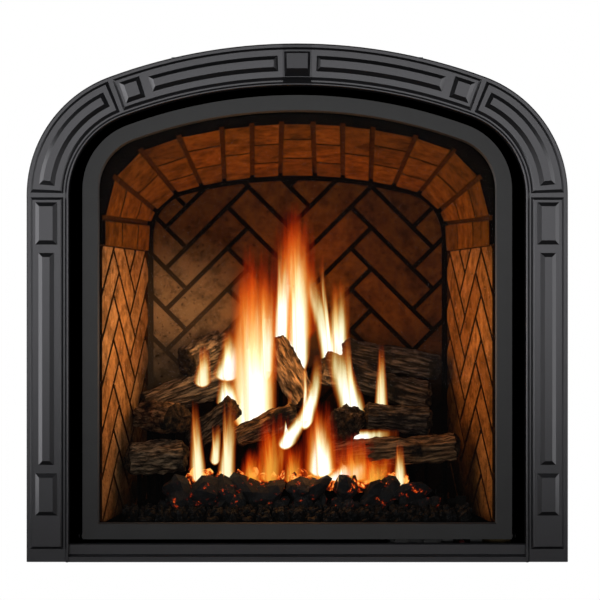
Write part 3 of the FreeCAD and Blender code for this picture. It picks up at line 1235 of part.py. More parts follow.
def shutoff():
    """Supply pipe, quarter-turn shut-off valve and its lever."""
    y, z = VALVE_Y + PIPE_SETBACK, valve_axis_z()
    pipe_start = valve_x + VALVE_WIDTH
    NODES["supply_pipe"] = rod(PIPE_RADIUS, Vec(pipe_start, y, z), Vec(1, 0, 0), shutoff_x - pipe_start)
    barrel = rod(SHUTOFF_RADIUS, Vec(shutoff_x, y, z), Vec(1, 0, 0), SHUTOFF_LENGTH)
    hexes = []
    for x in (shutoff_x, shutoff_x + SHUTOFF_LENGTH - SHUTOFF_HEX):
        corners = [Vec(x, y + SHUTOFF_HEX_RADIUS * math.cos(index * math.pi / 3),
                       z + SHUTOFF_HEX_RADIUS * math.sin(index * math.pi / 3)) for index in range(6)]
        hexes.append(prism(corners, Vec(SHUTOFF_HEX, 0, 0)))
    middle = Vec(shutoff_x + SHUTOFF_LENGTH / 2, y, z)
    boss_top = SHUTOFF_RADIUS + STEM_BOSS_HEIGHT
    boss = rod(STEM_BOSS_RADIUS, middle, Vec(0, 0, 1), boss_top)
    stem_hole = rod(STEM_RADIUS + RUNNING_GAP, middle, Vec(0, 0, 1), boss_top + OVERRUN)
    end = shutoff_x + SHUTOFF_LENGTH
    inlet = rod(INLET_BORE_RADIUS, Vec(end - INLET_BORE_DEPTH, y, z), Vec(1, 0, 0),
                INLET_BORE_DEPTH + OVERRUN)
    NODES["shutoff_valve"] = barrel.multiFuse(hexes + [boss]).cut(stem_hole).cut(inlet)
    low = z + boss_top + FIT_GAP
    stem = rod(STEM_RADIUS, Vec(middle.x, y, z + FIT_GAP), Vec(0, 0, 1), boss_top + LEVER_THICKNESS)
    grip = box(middle.x - LEVER_LENGTH, middle.x, y - LEVER_WIDTH / 2, y + LEVER_WIDTH / 2,
               low, low + LEVER_THICKNESS)
    hub = rod(STEM_BOSS_RADIUS, Vec(middle.x, y, low), Vec(0, 0, 1), LEVER_THICKNESS)
    NODES["shutoff_lever"] = grip.multiFuse([hub, stem])


# Logs, coals and rock
def log_axis(name):
    """Diameter, start and end of a log in real sizes."""
    diameter, start, end, supports = LOG_SHARES[name]

    def place(shares):
        across, deep, up = shares
        return Vec(across * liner_back_half, seat_back + deep * LINER_DEPTH, floor_top + up * LOG_PILE_HEIGHT)

    return diameter, place(start), place(end), supports


def log_solid(name, index):
    """One log: a gently bent, ridged and tapering trunk."""
    diameter, start, end, supports = log_axis(name)
    along = (end - start).normalize()
    side = along.cross(Vec(0, 0, 1)).normalize()
    up = side.cross(along)
    sections = []
    for share, taper in zip(LOG_STATION_SHARES, LOG_TAPER_SHARES):
        middle = start + (end - start) * share
        middle = middle + up * (LOG_BEND_SHARE * diameter * math.sin(math.pi * share))
        ring = []
        for corner in range(LOG_SIDES):
            angle = 2 * math.pi * corner / LOG_SIDES + index
            radius = taper * diameter / 2 * (1 + LOG_RIDGE_SHARE * math.cos(2 * angle + index))
            ring.append(middle + side * (radius * math.cos(angle)) + up * (radius * math.sin(angle)))
        sections.append(ring)
    return polyhedron(sections)


def log_pin(name, share, carrier):
    """Upright square pin from what carries a log to the log's middle."""
    diameter, start, end, supports = log_axis(name)
    head = start + (end - start) * share
    if carrier == "floor":
        foot = floor_top
    elif carrier == "burner":
        foot = burner_top_level
    else:
        lower_diameter, lower_start, lower_end, lower_supports = log_axis(carrier)
        slope = (head.x - lower_start.x) / (lower_end.x - lower_start.x)
        foot = lower_start.z + slope * (lower_end.z - lower_start.z)
    half = LOG_PIN_SIZE / 2
    return box(head.x - half, head.x + half, head.y - half, head.y + half, foot, head.z)


def lump(place, size, height, index):
    """Broken lump with a flat foot and a smaller flat top."""
    def outline(scale, lift):
        ring = []
        for corner in range(LUMP_SIDES):
            angle = 2 * math.pi * corner / LUMP_SIDES + index
            reach = scale * size * LUMP_RADIUS_SHARES[(corner + index) % LUMP_SIDES]
            ring.append(place + Vec(reach * math.cos(angle), reach * math.sin(angle), lift))
        return ring

    tall = height * LUMP_HEIGHT_SHARES[index % len(LUMP_HEIGHT_SHARES)]
    return frustum(outline(1, 0), outline(LUMP_TOP_SHARE, tall))


def fire_bed():
    """Logs on their pins, coals on the burner and crushed rock along the front."""
    pins = [log_pin(name, share, carrier) for name in LOG_SHARES
            for share, carrier in LOG_SHARES[name][-1]]
    NODES["log_pins"] = group(pins)
    for index, name in enumerate(LOG_SHARES):
        NODES[name] = log_solid(name, index).cut(pins)
    pitch = 2 * burner_half_width / COAL_COUNT
    coals = []
    for index in range(COAL_COUNT):
        place = Vec(-burner_half_width + (index + 1 / 2) * pitch, burner_front + COAL_ROW, burner_top_level)
        coals.append(lump(place, COAL_SIZE, COAL_HEIGHT, index))
    NODES["glowing_coals"] = group(coals)
    rocks = []
    row_pitch = (ROCK_BED_DEPTH - ROCK_FIRST_ROW) / (ROCK_ROWS - 1)
    for row in range(ROCK_ROWS):
        depth = ROCK_FIRST_ROW + row * row_pitch
        reach = liner_front_half - LINER_SPLAY * depth / LINER_DEPTH - 2 * ROCK_SIZE
        for column in range(ROCK_COLUMNS):
            x = reach * (2 * column / (ROCK_COLUMNS - 1) - 1)
            rocks.append(lump(Vec(x, seat_back + depth, floor_top), ROCK_SIZE, ROCK_HEIGHT,
                              column + row))
    NODES["crushed_rock"] = group(rocks)


surround()
door()
door_hardware()
casing()
firebox()
liner()
burner()
pilot()
controls()
fire_bed()

os.makedirs("parts", exist_ok=True)
for name, shape in NODES.items():
    shape.exportStep(f"parts/{name}.step")
    print(name, len(shape.Solids), shape.isValid(), round(shape.Volume))
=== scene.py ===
import json
import math
import random

import bpy
from mathutils import Matrix, Vector

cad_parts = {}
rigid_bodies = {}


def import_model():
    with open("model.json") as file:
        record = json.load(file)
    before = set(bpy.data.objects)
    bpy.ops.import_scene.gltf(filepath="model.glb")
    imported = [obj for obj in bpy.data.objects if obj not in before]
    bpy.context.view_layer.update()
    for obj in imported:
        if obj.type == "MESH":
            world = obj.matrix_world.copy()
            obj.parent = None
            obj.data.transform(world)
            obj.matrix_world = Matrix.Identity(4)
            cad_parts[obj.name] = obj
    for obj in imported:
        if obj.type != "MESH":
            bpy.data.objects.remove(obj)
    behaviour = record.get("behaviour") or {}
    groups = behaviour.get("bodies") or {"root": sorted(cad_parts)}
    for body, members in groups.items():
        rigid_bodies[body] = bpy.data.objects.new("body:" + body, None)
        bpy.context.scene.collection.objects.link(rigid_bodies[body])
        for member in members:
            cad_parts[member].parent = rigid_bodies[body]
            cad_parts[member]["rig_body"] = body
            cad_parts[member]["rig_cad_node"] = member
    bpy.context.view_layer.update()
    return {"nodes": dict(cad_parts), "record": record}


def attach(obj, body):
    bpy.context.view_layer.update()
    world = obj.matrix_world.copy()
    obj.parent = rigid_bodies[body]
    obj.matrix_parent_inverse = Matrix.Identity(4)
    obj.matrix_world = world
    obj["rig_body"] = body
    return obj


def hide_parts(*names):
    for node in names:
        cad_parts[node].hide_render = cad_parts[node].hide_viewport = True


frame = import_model()
nodes = frame["nodes"]
dice = random.Random(7)


# Modelling helpers
def alone(obj):
    """Makes one object the only selected and active one."""
    bpy.ops.object.select_all(action="DESELECT")
    obj.select_set(True)
    bpy.context.view_layer.objects.active = obj


def settle(obj):
    """Leaves an object at the origin, unrotated and unscaled."""
    alone(obj)
    bpy.ops.object.transform_apply(location=True, rotation=True, scale=True)


def displace(obj, size, octaves, strength, guide=None):
    """Pushes a mesh in and out by cloud noise of a size and applies it."""
    noise = bpy.data.textures.new("clouds", "CLOUDS")
    noise.noise_scale = size
    noise.noise_depth = octaves
    alone(obj)
    mod = obj.modifiers.new("relief", "DISPLACE")
    mod.texture = noise
    mod.strength = strength
    mod.texture_coords = "OBJECT" if guide else "LOCAL"
    if guide:
        mod.texture_coords_object = guide
    bpy.ops.object.modifier_apply(modifier=mod.name)


def joined(pieces, name):
    """Several pieces as one object."""
    bpy.ops.object.select_all(action="DESELECT")
    for piece in pieces:
        piece.select_set(True)
    bpy.context.view_layer.objects.active = pieces[0]
    bpy.ops.object.join()
    made = bpy.context.object
    made.name = name
    return made


def fit(obj, slot, body="casing", *replaced):
    """Ties a finished piece to its body and hides the nodes that it stands for. The slot is not used."""
    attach(obj, body)
    if replaced:
        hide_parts(*replaced)
    return obj


# Material helpers
MIX_INPUTS, MIX_RESULT = (0, 6, 7), 2  # share and colours of a mix node, and the colour that comes out
DARK_BELOW, LIGHT_ABOVE = 0.3, 0.7     # noise levels of the two colours of a mottled finish
GRAIN_DETAIL, GRAIN_STRENGTH = 6.0, 0.6


class Surface:
    """A material with one shader and a few ways to drive it."""

    def __init__(self, name, roughness=0.5, metallic=0.0, specular=0.5):
        self.mat = bpy.data.materials.new(name)
        self.mat.use_nodes = True
        self.nodes = self.mat.node_tree.nodes
        self.links = self.mat.node_tree.links
        self.shader = self.nodes["Principled BSDF"]
        self.shader.inputs["Roughness"].default_value = roughness
        self.shader.inputs["Metallic"].default_value = metallic
        self.shader.inputs["Specular IOR Level"].default_value = specular

    def link(self, out, socket):
        self.links.new(out, socket)

    def coords(self, kind="Object", scale=(1, 1, 1)):
        place = self.nodes.new("ShaderNodeTexCoord")
        stretch = self.nodes.new("ShaderNodeMapping")
        stretch.inputs["Scale"].default_value = scale
        self.link(place.outputs[kind], stretch.inputs["Vector"])
        return stretch.outputs["Vector"]

    def noise(self, size, detail=4.0, rough=0.55, vector=None):
        made = self.nodes.new("ShaderNodeTexNoise")
        made.inputs["Scale"].default_value = 1 / size
        made.inputs["Detail"].default_value = detail
        made.inputs["Roughness"].default_value = rough
        self.link(vector or self.coords(), made.inputs["Vector"])
        return made.outputs["Fac"]

    def ramp(self, value, *stops):
        made = self.nodes.new("ShaderNodeValToRGB")
        ends = made.color_ramp.elements
        while len(ends) < len(stops):
            ends.new(0.5)
        for end, (place, color) in zip(ends, stops):
            end.position = place
            end.color = (*color, 1.0)
        self.link(value, made.inputs["Fac"])
        return made.outputs["Color"]

    def mottle(self, size, dark, light):
        """Two close colours mixed by noise of a size."""
        return self.ramp(self.noise(size), (DARK_BELOW, dark), (LIGHT_ABOVE, light))

    def feed(self, socket, value):
        """Sets a socket to a number, colour or place, or links an output to it."""
        if isinstance(value, (int, float)):
            socket.default_value = value
        elif isinstance(value, tuple):
            socket.default_value = value if socket.type == "VECTOR" else (*value, 1.0)
        else:
            self.link(value, socket)

    def math(self, kind, *values):
        made = self.nodes.new("ShaderNodeMath")
        made.operation = kind
        for socket, value in zip(made.inputs, values):
            self.feed(socket, value)
        return made.outputs["Value"]

    def vector(self, kind, first, second, output="Vector"):
        made = self.nodes.new("ShaderNodeVectorMath")
        made.operation = kind
        self.feed(made.inputs[0], first)
        self.feed(made.inputs[1], second)
        return made.outputs[output]

    def span(self, value, low, high, to_low=0.0, to_high=1.0):
        made = self.nodes.new("ShaderNodeMapRange")
        made.interpolation_type = "SMOOTHSTEP"
        for name, number in (("From Min", low), ("From Max", high), ("To Min", to_low), ("To Max", to_high)):
            made.inputs[name].default_value = number
        self.link(value, made.inputs["Value"])
        return made.outputs["Result"]

    def mix(self, share, first, second, kind="MIX"):
        made = self.nodes.new("ShaderNodeMix")
        made.data_type = "RGBA"
        made.blend_type = kind
        for place, value in zip(MIX_INPUTS, (share, first, second)):
            self.feed(made.inputs[place], value)
        return made.outputs[MIX_RESULT]

    def axis(self, name, kind="Object"):
        made = self.nodes.new("ShaderNodeSeparateXYZ")
        self.link(self.coords(kind), made.inputs["Vector"])
        return made.outputs[name]

    def color(self, out):
        self.link(out, self.shader.inputs["Base Color"])

    def bump(self, height, depth, strength):
        made = self.nodes.new("ShaderNodeBump")
        made.inputs["Strength"].default_value = strength
        made.inputs["Distance"].default_value = depth
        self.link(height, made.inputs["Height"])
        self.link(made.outputs["Normal"], self.shader.inputs["Normal"])

    def grain(self, size, depth):
        """Fine bumps of a size and depth."""
        self.bump(self.noise(size, GRAIN_DETAIL), depth, GRAIN_STRENGTH)

    def glow(self, color, strength):
        self.link(color, self.shader.inputs["Emission Color"])
        self.feed(self.shader.inputs["Emission Strength"], strength)


def plain(name, dark, light, size, roughness, metallic=0.0, grain=None, depth=0.0003, specular=0.5):
    """A mottled finish with an optional fine grain."""
    made = Surface(name, roughness, metallic, specular)
    made.color(made.mottle(size, dark, light))
    if grain:
        made.grain(grain, depth)
    return made.mat


# Finishes of the CAD pieces
CASTING_GLOSS, KEYSTONE_GLOSS = 0.85, 0.61
KEYSTONE_HALF, KEYSTONE_LOW = 0.028, 0.90
castings = Surface("charcoal castings", 0.35)
castings.color(castings.mottle(0.05, (0.0040, 0.0041, 0.0050), (0.0062, 0.0064, 0.0076)))
castings.grain(0.0012, 0.00012)
castings.shader.inputs["Specular Tint"].default_value = (0.96, 0.95, 1.0, 1.0)
high = castings.math("GREATER_THAN", castings.axis("Z"), KEYSTONE_LOW)
central = castings.math("LESS_THAN", castings.math("ABSOLUTE", castings.axis("X")), KEYSTONE_HALF)
gloss = castings.math("MULTIPLY_ADD", castings.math("MULTIPLY", high, central),
                      KEYSTONE_GLOSS - CASTING_GLOSS, CASTING_GLOSS)
castings.link(gloss, castings.shader.inputs["Specular IOR Level"])

door_black = plain("door black", (0.008, 0.0081, 0.0088), (0.012, 0.0122, 0.0132), 0.05, 0.45,
                   grain=0.001, depth=0.0001, specular=0.46)
# The black sheet is black paint made darker than paint and without reflection, as painted shade in the
# recess round the door
black_sheet = plain("matt black sheet", (0.00008, 0.00008, 0.00008), (0.0002, 0.0002, 0.0002), 0.04, 1.0,
                    specular=0.0)
bright_steel = plain("bright steel", (0.45, 0.45, 0.46), (0.58, 0.58, 0.60), 0.01, 0.35, 1.0)
rope = plain("fibre rope", (0.20, 0.19, 0.18), (0.36, 0.34, 0.31), 0.004, 0.9, 0.0, 0.003, 0.001)
# The brass and red plastic are darker than clean ones, as painted shade where they show through the gap
# round the door
brass = plain("gas brass", (0.060, 0.042, 0.016), (0.100, 0.072, 0.030), 0.01, 0.5, 0.8)
tube = plain("gas tube", (0.10, 0.10, 0.10), (0.15, 0.15, 0.15), 0.02, 0.5, 0.8)
alloy = plain("valve alloy", (0.055, 0.055, 0.056), (0.085, 0.085, 0.087), 0.02, 0.6, 0.8, 0.002, 0.0002)
black_plastic = plain("black plastic", (0.014, 0.014, 0.014), (0.022, 0.022, 0.022), 0.01, 0.5)
red_plastic = plain("red plastic", (0.060, 0.004, 0.003), (0.085, 0.006, 0.004), 0.01, 0.6)

PANE_COVER = 0.05  # share of what is behind the pane that it hides
pane = Surface("clear pane", roughness=0.02, specular=0.1)
pane.color(pane.mottle(0.1, (0.02, 0.02, 0.02), (0.03, 0.03, 0.03)))
pane.shader.inputs["Alpha"].default_value = PANE_COVER

CASING_MIDDLE, CASING_TOP = (0.0, 0.235, 0.470), 0.9385


def zinc(name, collar=False):
    """Galvanised sheet whose faces inside the casing are black and unreflecting, as painted shade."""
    made = Surface(name, roughness=0.6)
    if collar:
        inside = made.math("LESS_THAN", made.axis("Z"), CASING_TOP)
    else:
        outward = made.vector("SUBTRACT", made.coords(), CASING_MIDDLE)
        facing = made.vector("DOT_PRODUCT", outward, made.coords("Normal"), "Value")
        inside = made.math("LESS_THAN", facing, 0.0)
    spangle = made.mottle(0.012, (0.42, 0.44, 0.45), (0.60, 0.62, 0.63))
    # Painted shade: the faces within the casing take black without metal or reflection
    made.color(made.mix(inside, spangle, (0.0002, 0.0002, 0.0002)))
    for socket, level in (("Metallic", 0.9), ("Specular IOR Level", 0.5)):
        made.link(made.math("MULTIPLY_ADD", inside, -level, level), made.shader.inputs[socket])
    return made.mat


galvanised, collar_zinc = zinc("galvanised sheet"), zinc("galvanised collar", True)
sooty = plain("sooty fitting", (0.002, 0.0016, 0.0012), (0.006, 0.005, 0.0035), 0.006, 0.8, specular=0.1)


def dress(node, finish):
    """Gives every slot of a CAD piece one finish."""
    for slot in nodes[node].material_slots:
        slot.material = finish


finishes = {
    "charcoal_castings": castings.mat, "door_black": door_black, "matt_black_sheet": black_sheet,
    "galvanised_sheet": galvanised, "bright_steel": bright_steel, "fibre_rope": rope,
    "gas_brass": brass, "gas_tube": tube, "valve_alloy": alloy, "black_plastic": black_plastic,
    "red_plastic": red_plastic, "clear_pane": pane.mat,
}
for subpart in frame["record"]["subparts"]:
    if subpart["material_slot"] in finishes:
        dress(subpart["node"], finishes[subpart["material_slot"]])
for node in ("orifice_spud", "air_shutter", "pilot_assembly", "pilot_tube", "control_bracket",
             "igniter_body"):
    dress(node, sooty)
for node in ("outer_vent_collar", "inner_vent_collar"):
    dress(node, collar_zinc)


# Brick finishes
# The soot colour is also painted shade, low down behind the logs
SOOT_AND_SHADE, PIT, PIT_COVER = (0.004, 0.002, 0.001), (0.010, 0.004, 0.001), 0.75
# A pale painted pool of firelight on the back wall, left of the fire: its colour, share, middle and reach
PAINTED_FIRELIGHT, PAINTED_FIRELIGHT_COVER, PAINTED_FIRELIGHT_PLACE = (0.46, 0.31, 0.15), 0.58, (-0.27, 0.40, 0.43)
PAINTED_FIRELIGHT_FAR, PAINTED_FIRELIGHT_NEAR, PAINTED_FIRELIGHT_MOST = 0.24, 0.06, 0.85
# Sizes of a brick's patterns
FIRED_SIZE, PIT_SIZE, WEAR_SIZE, SOOT_AND_SHADE_SIZE, POCK_SIZE = 0.020, 0.007, 0.045, 0.11, 0.004
SOOT_AND_SHADE_FRONT = 0.08  # depth at which the soot and painted shade have their stated heights
SOOT_AND_SHADE_WAVE = 0.16   # how far noise moves the edge of the soot and painted shade, in all


def near_painted_firelight(made):
    """Nearness to the place left of the fire where the back wall has a pale painted pool of firelight."""
    away = made.vector("DISTANCE", made.coords(), PAINTED_FIRELIGHT_PLACE, "Value")
    return made.span(away, PAINTED_FIRELIGHT_FAR, PAINTED_FIRELIGHT_NEAR, 0.0, PAINTED_FIRELIGHT_MOST)


def brick(name, dark, light, low, full, slope=0.0, with_painted_firelight=False):
    """One fired-brick tone, black up to a height and clean from another one on, as soot and painted shade
    low down behind the logs.

    The black rises towards the back by the slope. One with the firelight flag has a pale painted pool of
    firelight to the left of the fire.
    """
    made = Surface(name, roughness=0.85, specular=0.0)
    base = made.ramp(made.noise(FIRED_SIZE, 6.0, 0.7), (0.28, dark), (0.62, light))
    unpitted = made.span(made.noise(PIT_SIZE, 4.0, 0.65), 0.33, 0.41)
    # A pale painted pool of firelight to the left of the fire
    if with_painted_firelight:
        base = made.mix(near_painted_firelight(made), base, made.mix(PAINTED_FIRELIGHT_COVER, base, PAINTED_FIRELIGHT))
    wear = made.span(made.noise(WEAR_SIZE, 5.0, 0.7), 0.36, 0.57, 0.58, 1.18)
    base = made.mix(1.0, base, wear, "MULTIPLY")
    base = made.mix(unpitted, made.mix(PIT_COVER, base, PIT), base)
    # Below a height, rising towards the back by the slope, the bricks turn black: soot and painted shade
    # behind the logs
    wave = made.math("MULTIPLY_ADD", made.noise(SOOT_AND_SHADE_SIZE, 3.0), SOOT_AND_SHADE_WAVE, -SOOT_AND_SHADE_WAVE / 2)
    height = made.math("ADD", made.axis("Z"), wave)
    if slope:
        height = made.math("MULTIPLY_ADD", made.axis("Y"), -slope,
                           made.math("ADD", height, SOOT_AND_SHADE_FRONT * slope))
    made.color(made.mix(made.span(height, low, full), SOOT_AND_SHADE, base))
    made.bump(made.noise(POCK_SIZE, 8.0, 0.65), 0.0014, 0.8)
    return made.mat


def bricks(wall, tones, *soot):
    """The tones of one wall; soot is what brick() takes after its colours: heights and slope of the soot and
    painted shade, and the painted firelight flag.
    """
    return [brick(f"{wall} brick {tone}", dark, light, *soot) for tone, dark, light in tones]


# Each wall is the same fired brick in lit and shaded copies, as painted light and shade: the left wall
# lightest, the right wall, the vault and the back darker
firelit_left_bricks = bricks("left", (
    ("brown", (0.15, 0.072, 0.022), (0.43, 0.225, 0.082)),
    ("tan", (0.18, 0.092, 0.031), (0.47, 0.260, 0.105)),
    ("umber", (0.13, 0.060, 0.018), (0.37, 0.182, 0.062)),
), -0.06, 0.30, 0.75)
shaded_right_bricks = bricks("right", (
    ("brown", (0.12, 0.048, 0.011), (0.33, 0.140, 0.032)),
    ("tan", (0.145, 0.060, 0.014), (0.38, 0.168, 0.043)),
    ("umber", (0.10, 0.038, 0.008), (0.28, 0.114, 0.025)),
), -0.04, 0.32, 0.60)
shaded_back_bricks = bricks("back", (
    ("brown", (0.038, 0.013, 0.0014), (0.090, 0.032, 0.0034)),
    ("rust", (0.044, 0.014, 0.0014), (0.101, 0.033, 0.0030)),
    ("dark", (0.027, 0.009, 0.0010), (0.074, 0.025, 0.0026)),
), 0.24, 0.50, 0.0, True)
shaded_vault_bricks = bricks("vault", (
    ("brown", (0.078, 0.028, 0.003), (0.195, 0.074, 0.008)),
    ("rust", (0.088, 0.028, 0.003), (0.215, 0.076, 0.007)),
    ("dark", (0.058, 0.021, 0.002), (0.148, 0.055, 0.006)),
), 0.10, 0.30)
# The front edge of the liner is near black, as painted shade under the door frame
shaded_front_edge = brick("front edge in painted shade", (0.002, 0.001, 0.0004), (0.007, 0.003, 0.001), 0.10, 0.30)

brown_joint = plain("brown joint", (0.022, 0.009, 0.003), (0.050, 0.020, 0.006), 0.01, 0.95,
                    grain=0.003, depth=0.001, specular=0.0)
vault_joint = plain("vault joint", (0.032, 0.012, 0.002), (0.072, 0.028, 0.005), 0.01, 0.95,
                    grain=0.003, depth=0.001, specular=0.0)
back_joint = Surface("back joint", roughness=0.95, specular=0.0)
soot = back_joint.mottle(0.01, (0.0015, 0.0008, 0.0004), (0.005, 0.0025, 0.001))
# Near the left of the fire the joints take the pale painted firelight too
back_joint.color(back_joint.mix(near_painted_firelight(back_joint), soot, (0.075, 0.047, 0.022)))
back_joint.grain(0.003, 0.001)

VAULT_FRONT, LINER_BACK = 0.040, 0.400
FIRE_MIDDLE = Vector((0, 0.18, 0.45))
FORWARD = -0.9  # a face whose normal has less along Y looks forward
INWARD = 0.25   # and one whose normal has more towards the fire looks inward
JOINT = 0.010   # width of a joint
BRICK_LEAST, CUT_LEAST = 1.1 * JOINT, 0.3 * JOINT  # least mean width of a brick and of a cut one
EASE_WIDTH, EASE_HEIGHT = 0.0022, 0.0010
WELD = 0.00002
FLAT_ANGLE, SHARP_ANGLE, SMOOTH_ANGLE = math.radians(0.5), math.radians(30), math.radians(35)


def into_fire(face):
    """Whether a face looks into the firebox and isn't the floor of the back wall's joints."""
    inward = face.normal.dot((FIRE_MIDDLE - face.center).normalized()) > INWARD
    return inward and face.center.y < LINER_BACK - JOINT / 4


def at_front(face):
    """Whether a face is on the front edge of the liner."""
    return face.normal.y < FORWARD and face.center.y < VAULT_FRONT + JOINT / 4


def island_width(mesh, faces):
    """Mean width of a patch of faces: its area over half the length of its edge."""
    seen = {}
    for face in faces:
        for key in face.edge_keys:
            seen[key] = seen.get(key, 0) + 1
    places = [v.co for v in mesh.vertices]
    edge = sum((places[a] - places[b]).length for (a, b), count in seen.items() if count == 1)
    return 2 * sum(face.area for face in faces) / edge


def edit(obj, mode="FACE"):
    """Opens an object with nothing selected."""
    alone(obj)
    bpy.ops.object.mode_set(mode="EDIT")
    bpy.ops.mesh.select_mode(type=mode)
    bpy.ops.mesh.select_all(action="DESELECT")


def edit_faces(obj, indexes):
    """Opens an object with some of its faces selected."""
    edit(obj)
    bpy.ops.object.mode_set(mode="OBJECT")
    for index in indexes:
        obj.data.polygons[index].select = True
    bpy.ops.object.mode_set(mode="EDIT")


def brickwork(node, joint, tones, flat=False):
    """Copy of a liner with eased brick edges, each brick in one of the tones.

    On a flat wall a small face that looks forward is a cut brick and not a joint.
    """
    alone(nodes[node])
    bpy.ops.object.duplicate()
    made = bpy.context.object
    made.name = node + "_bricks"
    made.parent = None
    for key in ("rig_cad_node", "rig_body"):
        if key in made:
            del made[key]
    made.data.materials.clear()
    for mat in [joint] + tones + [shaded_front_edge]:
        made.data.materials.append(mat)
    edit(made, "EDGE")
    bpy.ops.mesh.select_all(action="SELECT")
    bpy.ops.mesh.remove_doubles(threshold=WELD)
    bpy.ops.mesh.dissolve_limited(angle_limit=FLAT_ANGLE)
    bpy.ops.mesh.select_all(action="DESELECT")
    bpy.ops.mesh.edges_select_sharp(sharpness=SHARP_ANGLE)
    bpy.ops.mesh.mark_sharp()
    bpy.ops.object.mode_set(mode="OBJECT")
    for face in made.data.polygons:
        face.material_index = 0
    waiting = {f.index for f in made.data.polygons if into_fire(f) or at_front(f)}
    while waiting:
        first = min(waiting)
        edit_faces(made, [first])
        bpy.ops.mesh.select_linked(delimit={"SHARP"})
        bpy.ops.object.mode_set(mode="OBJECT")
        found = [f for f in made.data.polygons if f.select]
        tone = dice.randrange(len(tones)) + 1
        small = flat and made.data.polygons[first].normal.y < FORWARD
        if island_width(made.data, found) > (CUT_LEAST if small else BRICK_LEAST):
            for face in found:
                # Faces on the front edge take the near black of painted shade
                face.material_index = len(tones) + 1 if at_front(face) else tone
        waiting -= {f.index for f in found} | {first}
    edit_faces(made, [f.index for f in made.data.polygons if f.material_index > 0])
    bpy.ops.mesh.inset(thickness=EASE_WIDTH, depth=EASE_HEIGHT, use_even_offset=True)
    bpy.ops.object.mode_set(mode="OBJECT")
    alone(made)
    bpy.ops.object.shade_smooth_by_angle(angle=SMOOTH_ANGLE)
    return fit(made, "brown_brick", "casing", node)


brickwork("liner_back", back_joint.mat, shaded_back_bricks, True)
brickwork("liner_left", brown_joint, firelit_left_bricks)
brickwork("liner_right", brown_joint, shaded_right_bricks)
brickwork("liner_vault", vault_joint, shaded_vault_bricks)


# Logs
BARK_STRETCH = (7.0, 1.6, 1.0)  # of the bark's noise, round and along a log
CRACK, CHAR = (0.004, 0.003, 0.002), (0.008, 0.007, 0.006)


def bark(name, dark, light, char):
    """Furrowed bark, pale on its ridges and charred in patches."""
    made = Surface(name, roughness=0.9, specular=0.05)
    grain = made.noise(0.22, 8.0, 0.65, made.coords("UV", BARK_STRETCH))
    base = made.ramp(grain, (0.36, CRACK), (0.48, dark), (0.66, light))
    patch = made.span(made.noise(0.055, 4.0, 0.6), char - 0.08, char + 0.10)
    made.color(made.mix(patch, CHAR, base))
    made.bump(made.math("ADD", grain, made.math("MULTIPLY", made.noise(0.006, 6.0), 0.4)), 0.006, 0.9)
    return made.mat


barks = [
    bark("bark grey", (0.060, 0.042, 0.026), (0.34, 0.235, 0.140), 0.40),
    bark("bark brown", (0.062, 0.036, 0.018), (0.34, 0.200, 0.095), 0.40),
    bark("bark charred", (0.024, 0.018, 0.013), (0.175, 0.130, 0.090), 0.46),
]
end_grain = Surface("end grain", roughness=0.9, specular=0.05)
rings = end_grain.noise(0.010, 6.0, 0.7)
end_grain.color(end_grain.ramp(rings, (0.40, CRACK), (0.56, (0.030, 0.019, 0.010)),
                               (0.74, (0.13, 0.076, 0.036))))
end_grain.bump(rings, 0.004, 0.8)

# Each log: diameter, middle of its start, middle of its end, kind of bark
LOGS = {
    "log_rear_left": (0.060, (-0.320, 0.306, 0.280), (-0.127, 0.306, 0.350), 0),
    "log_rear_right": (0.060, (0.059, 0.300, 0.357), (0.271, 0.300, 0.301), 2),
    "log_rear_high": (0.052, (0.108, 0.348, 0.399), (0.300, 0.348, 0.359), 2),
    "log_bark_left": (0.057, (-0.235, 0.285, 0.371), (-0.165, 0.365, 0.410), 0),
    "log_upright": (0.060, (0.020, 0.290, 0.296), (-0.049, 0.308, 0.410), 0),
    "log_left_cut": (0.060, (-0.242, 0.142, 0.266), (-0.317, 0.250, 0.263), 1),
    "log_left_lean": (0.049, (-0.215, 0.219, 0.219), (-0.131, 0.184, 0.285), 2),
    "log_front_left": (0.060, (-0.336, 0.155, 0.182), (-0.232, 0.155, 0.189), 0),
    "log_middle": (0.049, (-0.121, 0.169, 0.221), (-0.007, 0.169, 0.270), 1),
    "log_round_end": (0.060, (0.091, 0.146, 0.249), (0.108, 0.234, 0.256), 2),
    "log_right_charred": (0.055, (0.147, 0.211, 0.264), (0.268, 0.207, 0.256), 2),
    "log_front_right": (0.055, (0.075, 0.155, 0.184), (0.320, 0.155, 0.205), 1),
}

LOG_SIDES, RING_STEP, RINGS_LEAST = 56, 0.0045, 8
LOG_CORE = 0.49  # radius before the relief, as a share of the diameter
# Inset and swell of a broken end, as shares of the diameter
END_STEPS = ((0.02, 0.01), (0.05, 0.05), (0.07, 0.04), (0.07, 0.02), (0.07, 0.01), (0.06, 0.005))
# Size and octaves of the relief, and its height as a share of the diameter
RELIEF = ((0.050, 1, 0.42), (0.013, 3, 0.30), (0.004, 2, 0.07))
GRAIN_STRETCH = 2.6
BARK_ANGLE = math.radians(55)


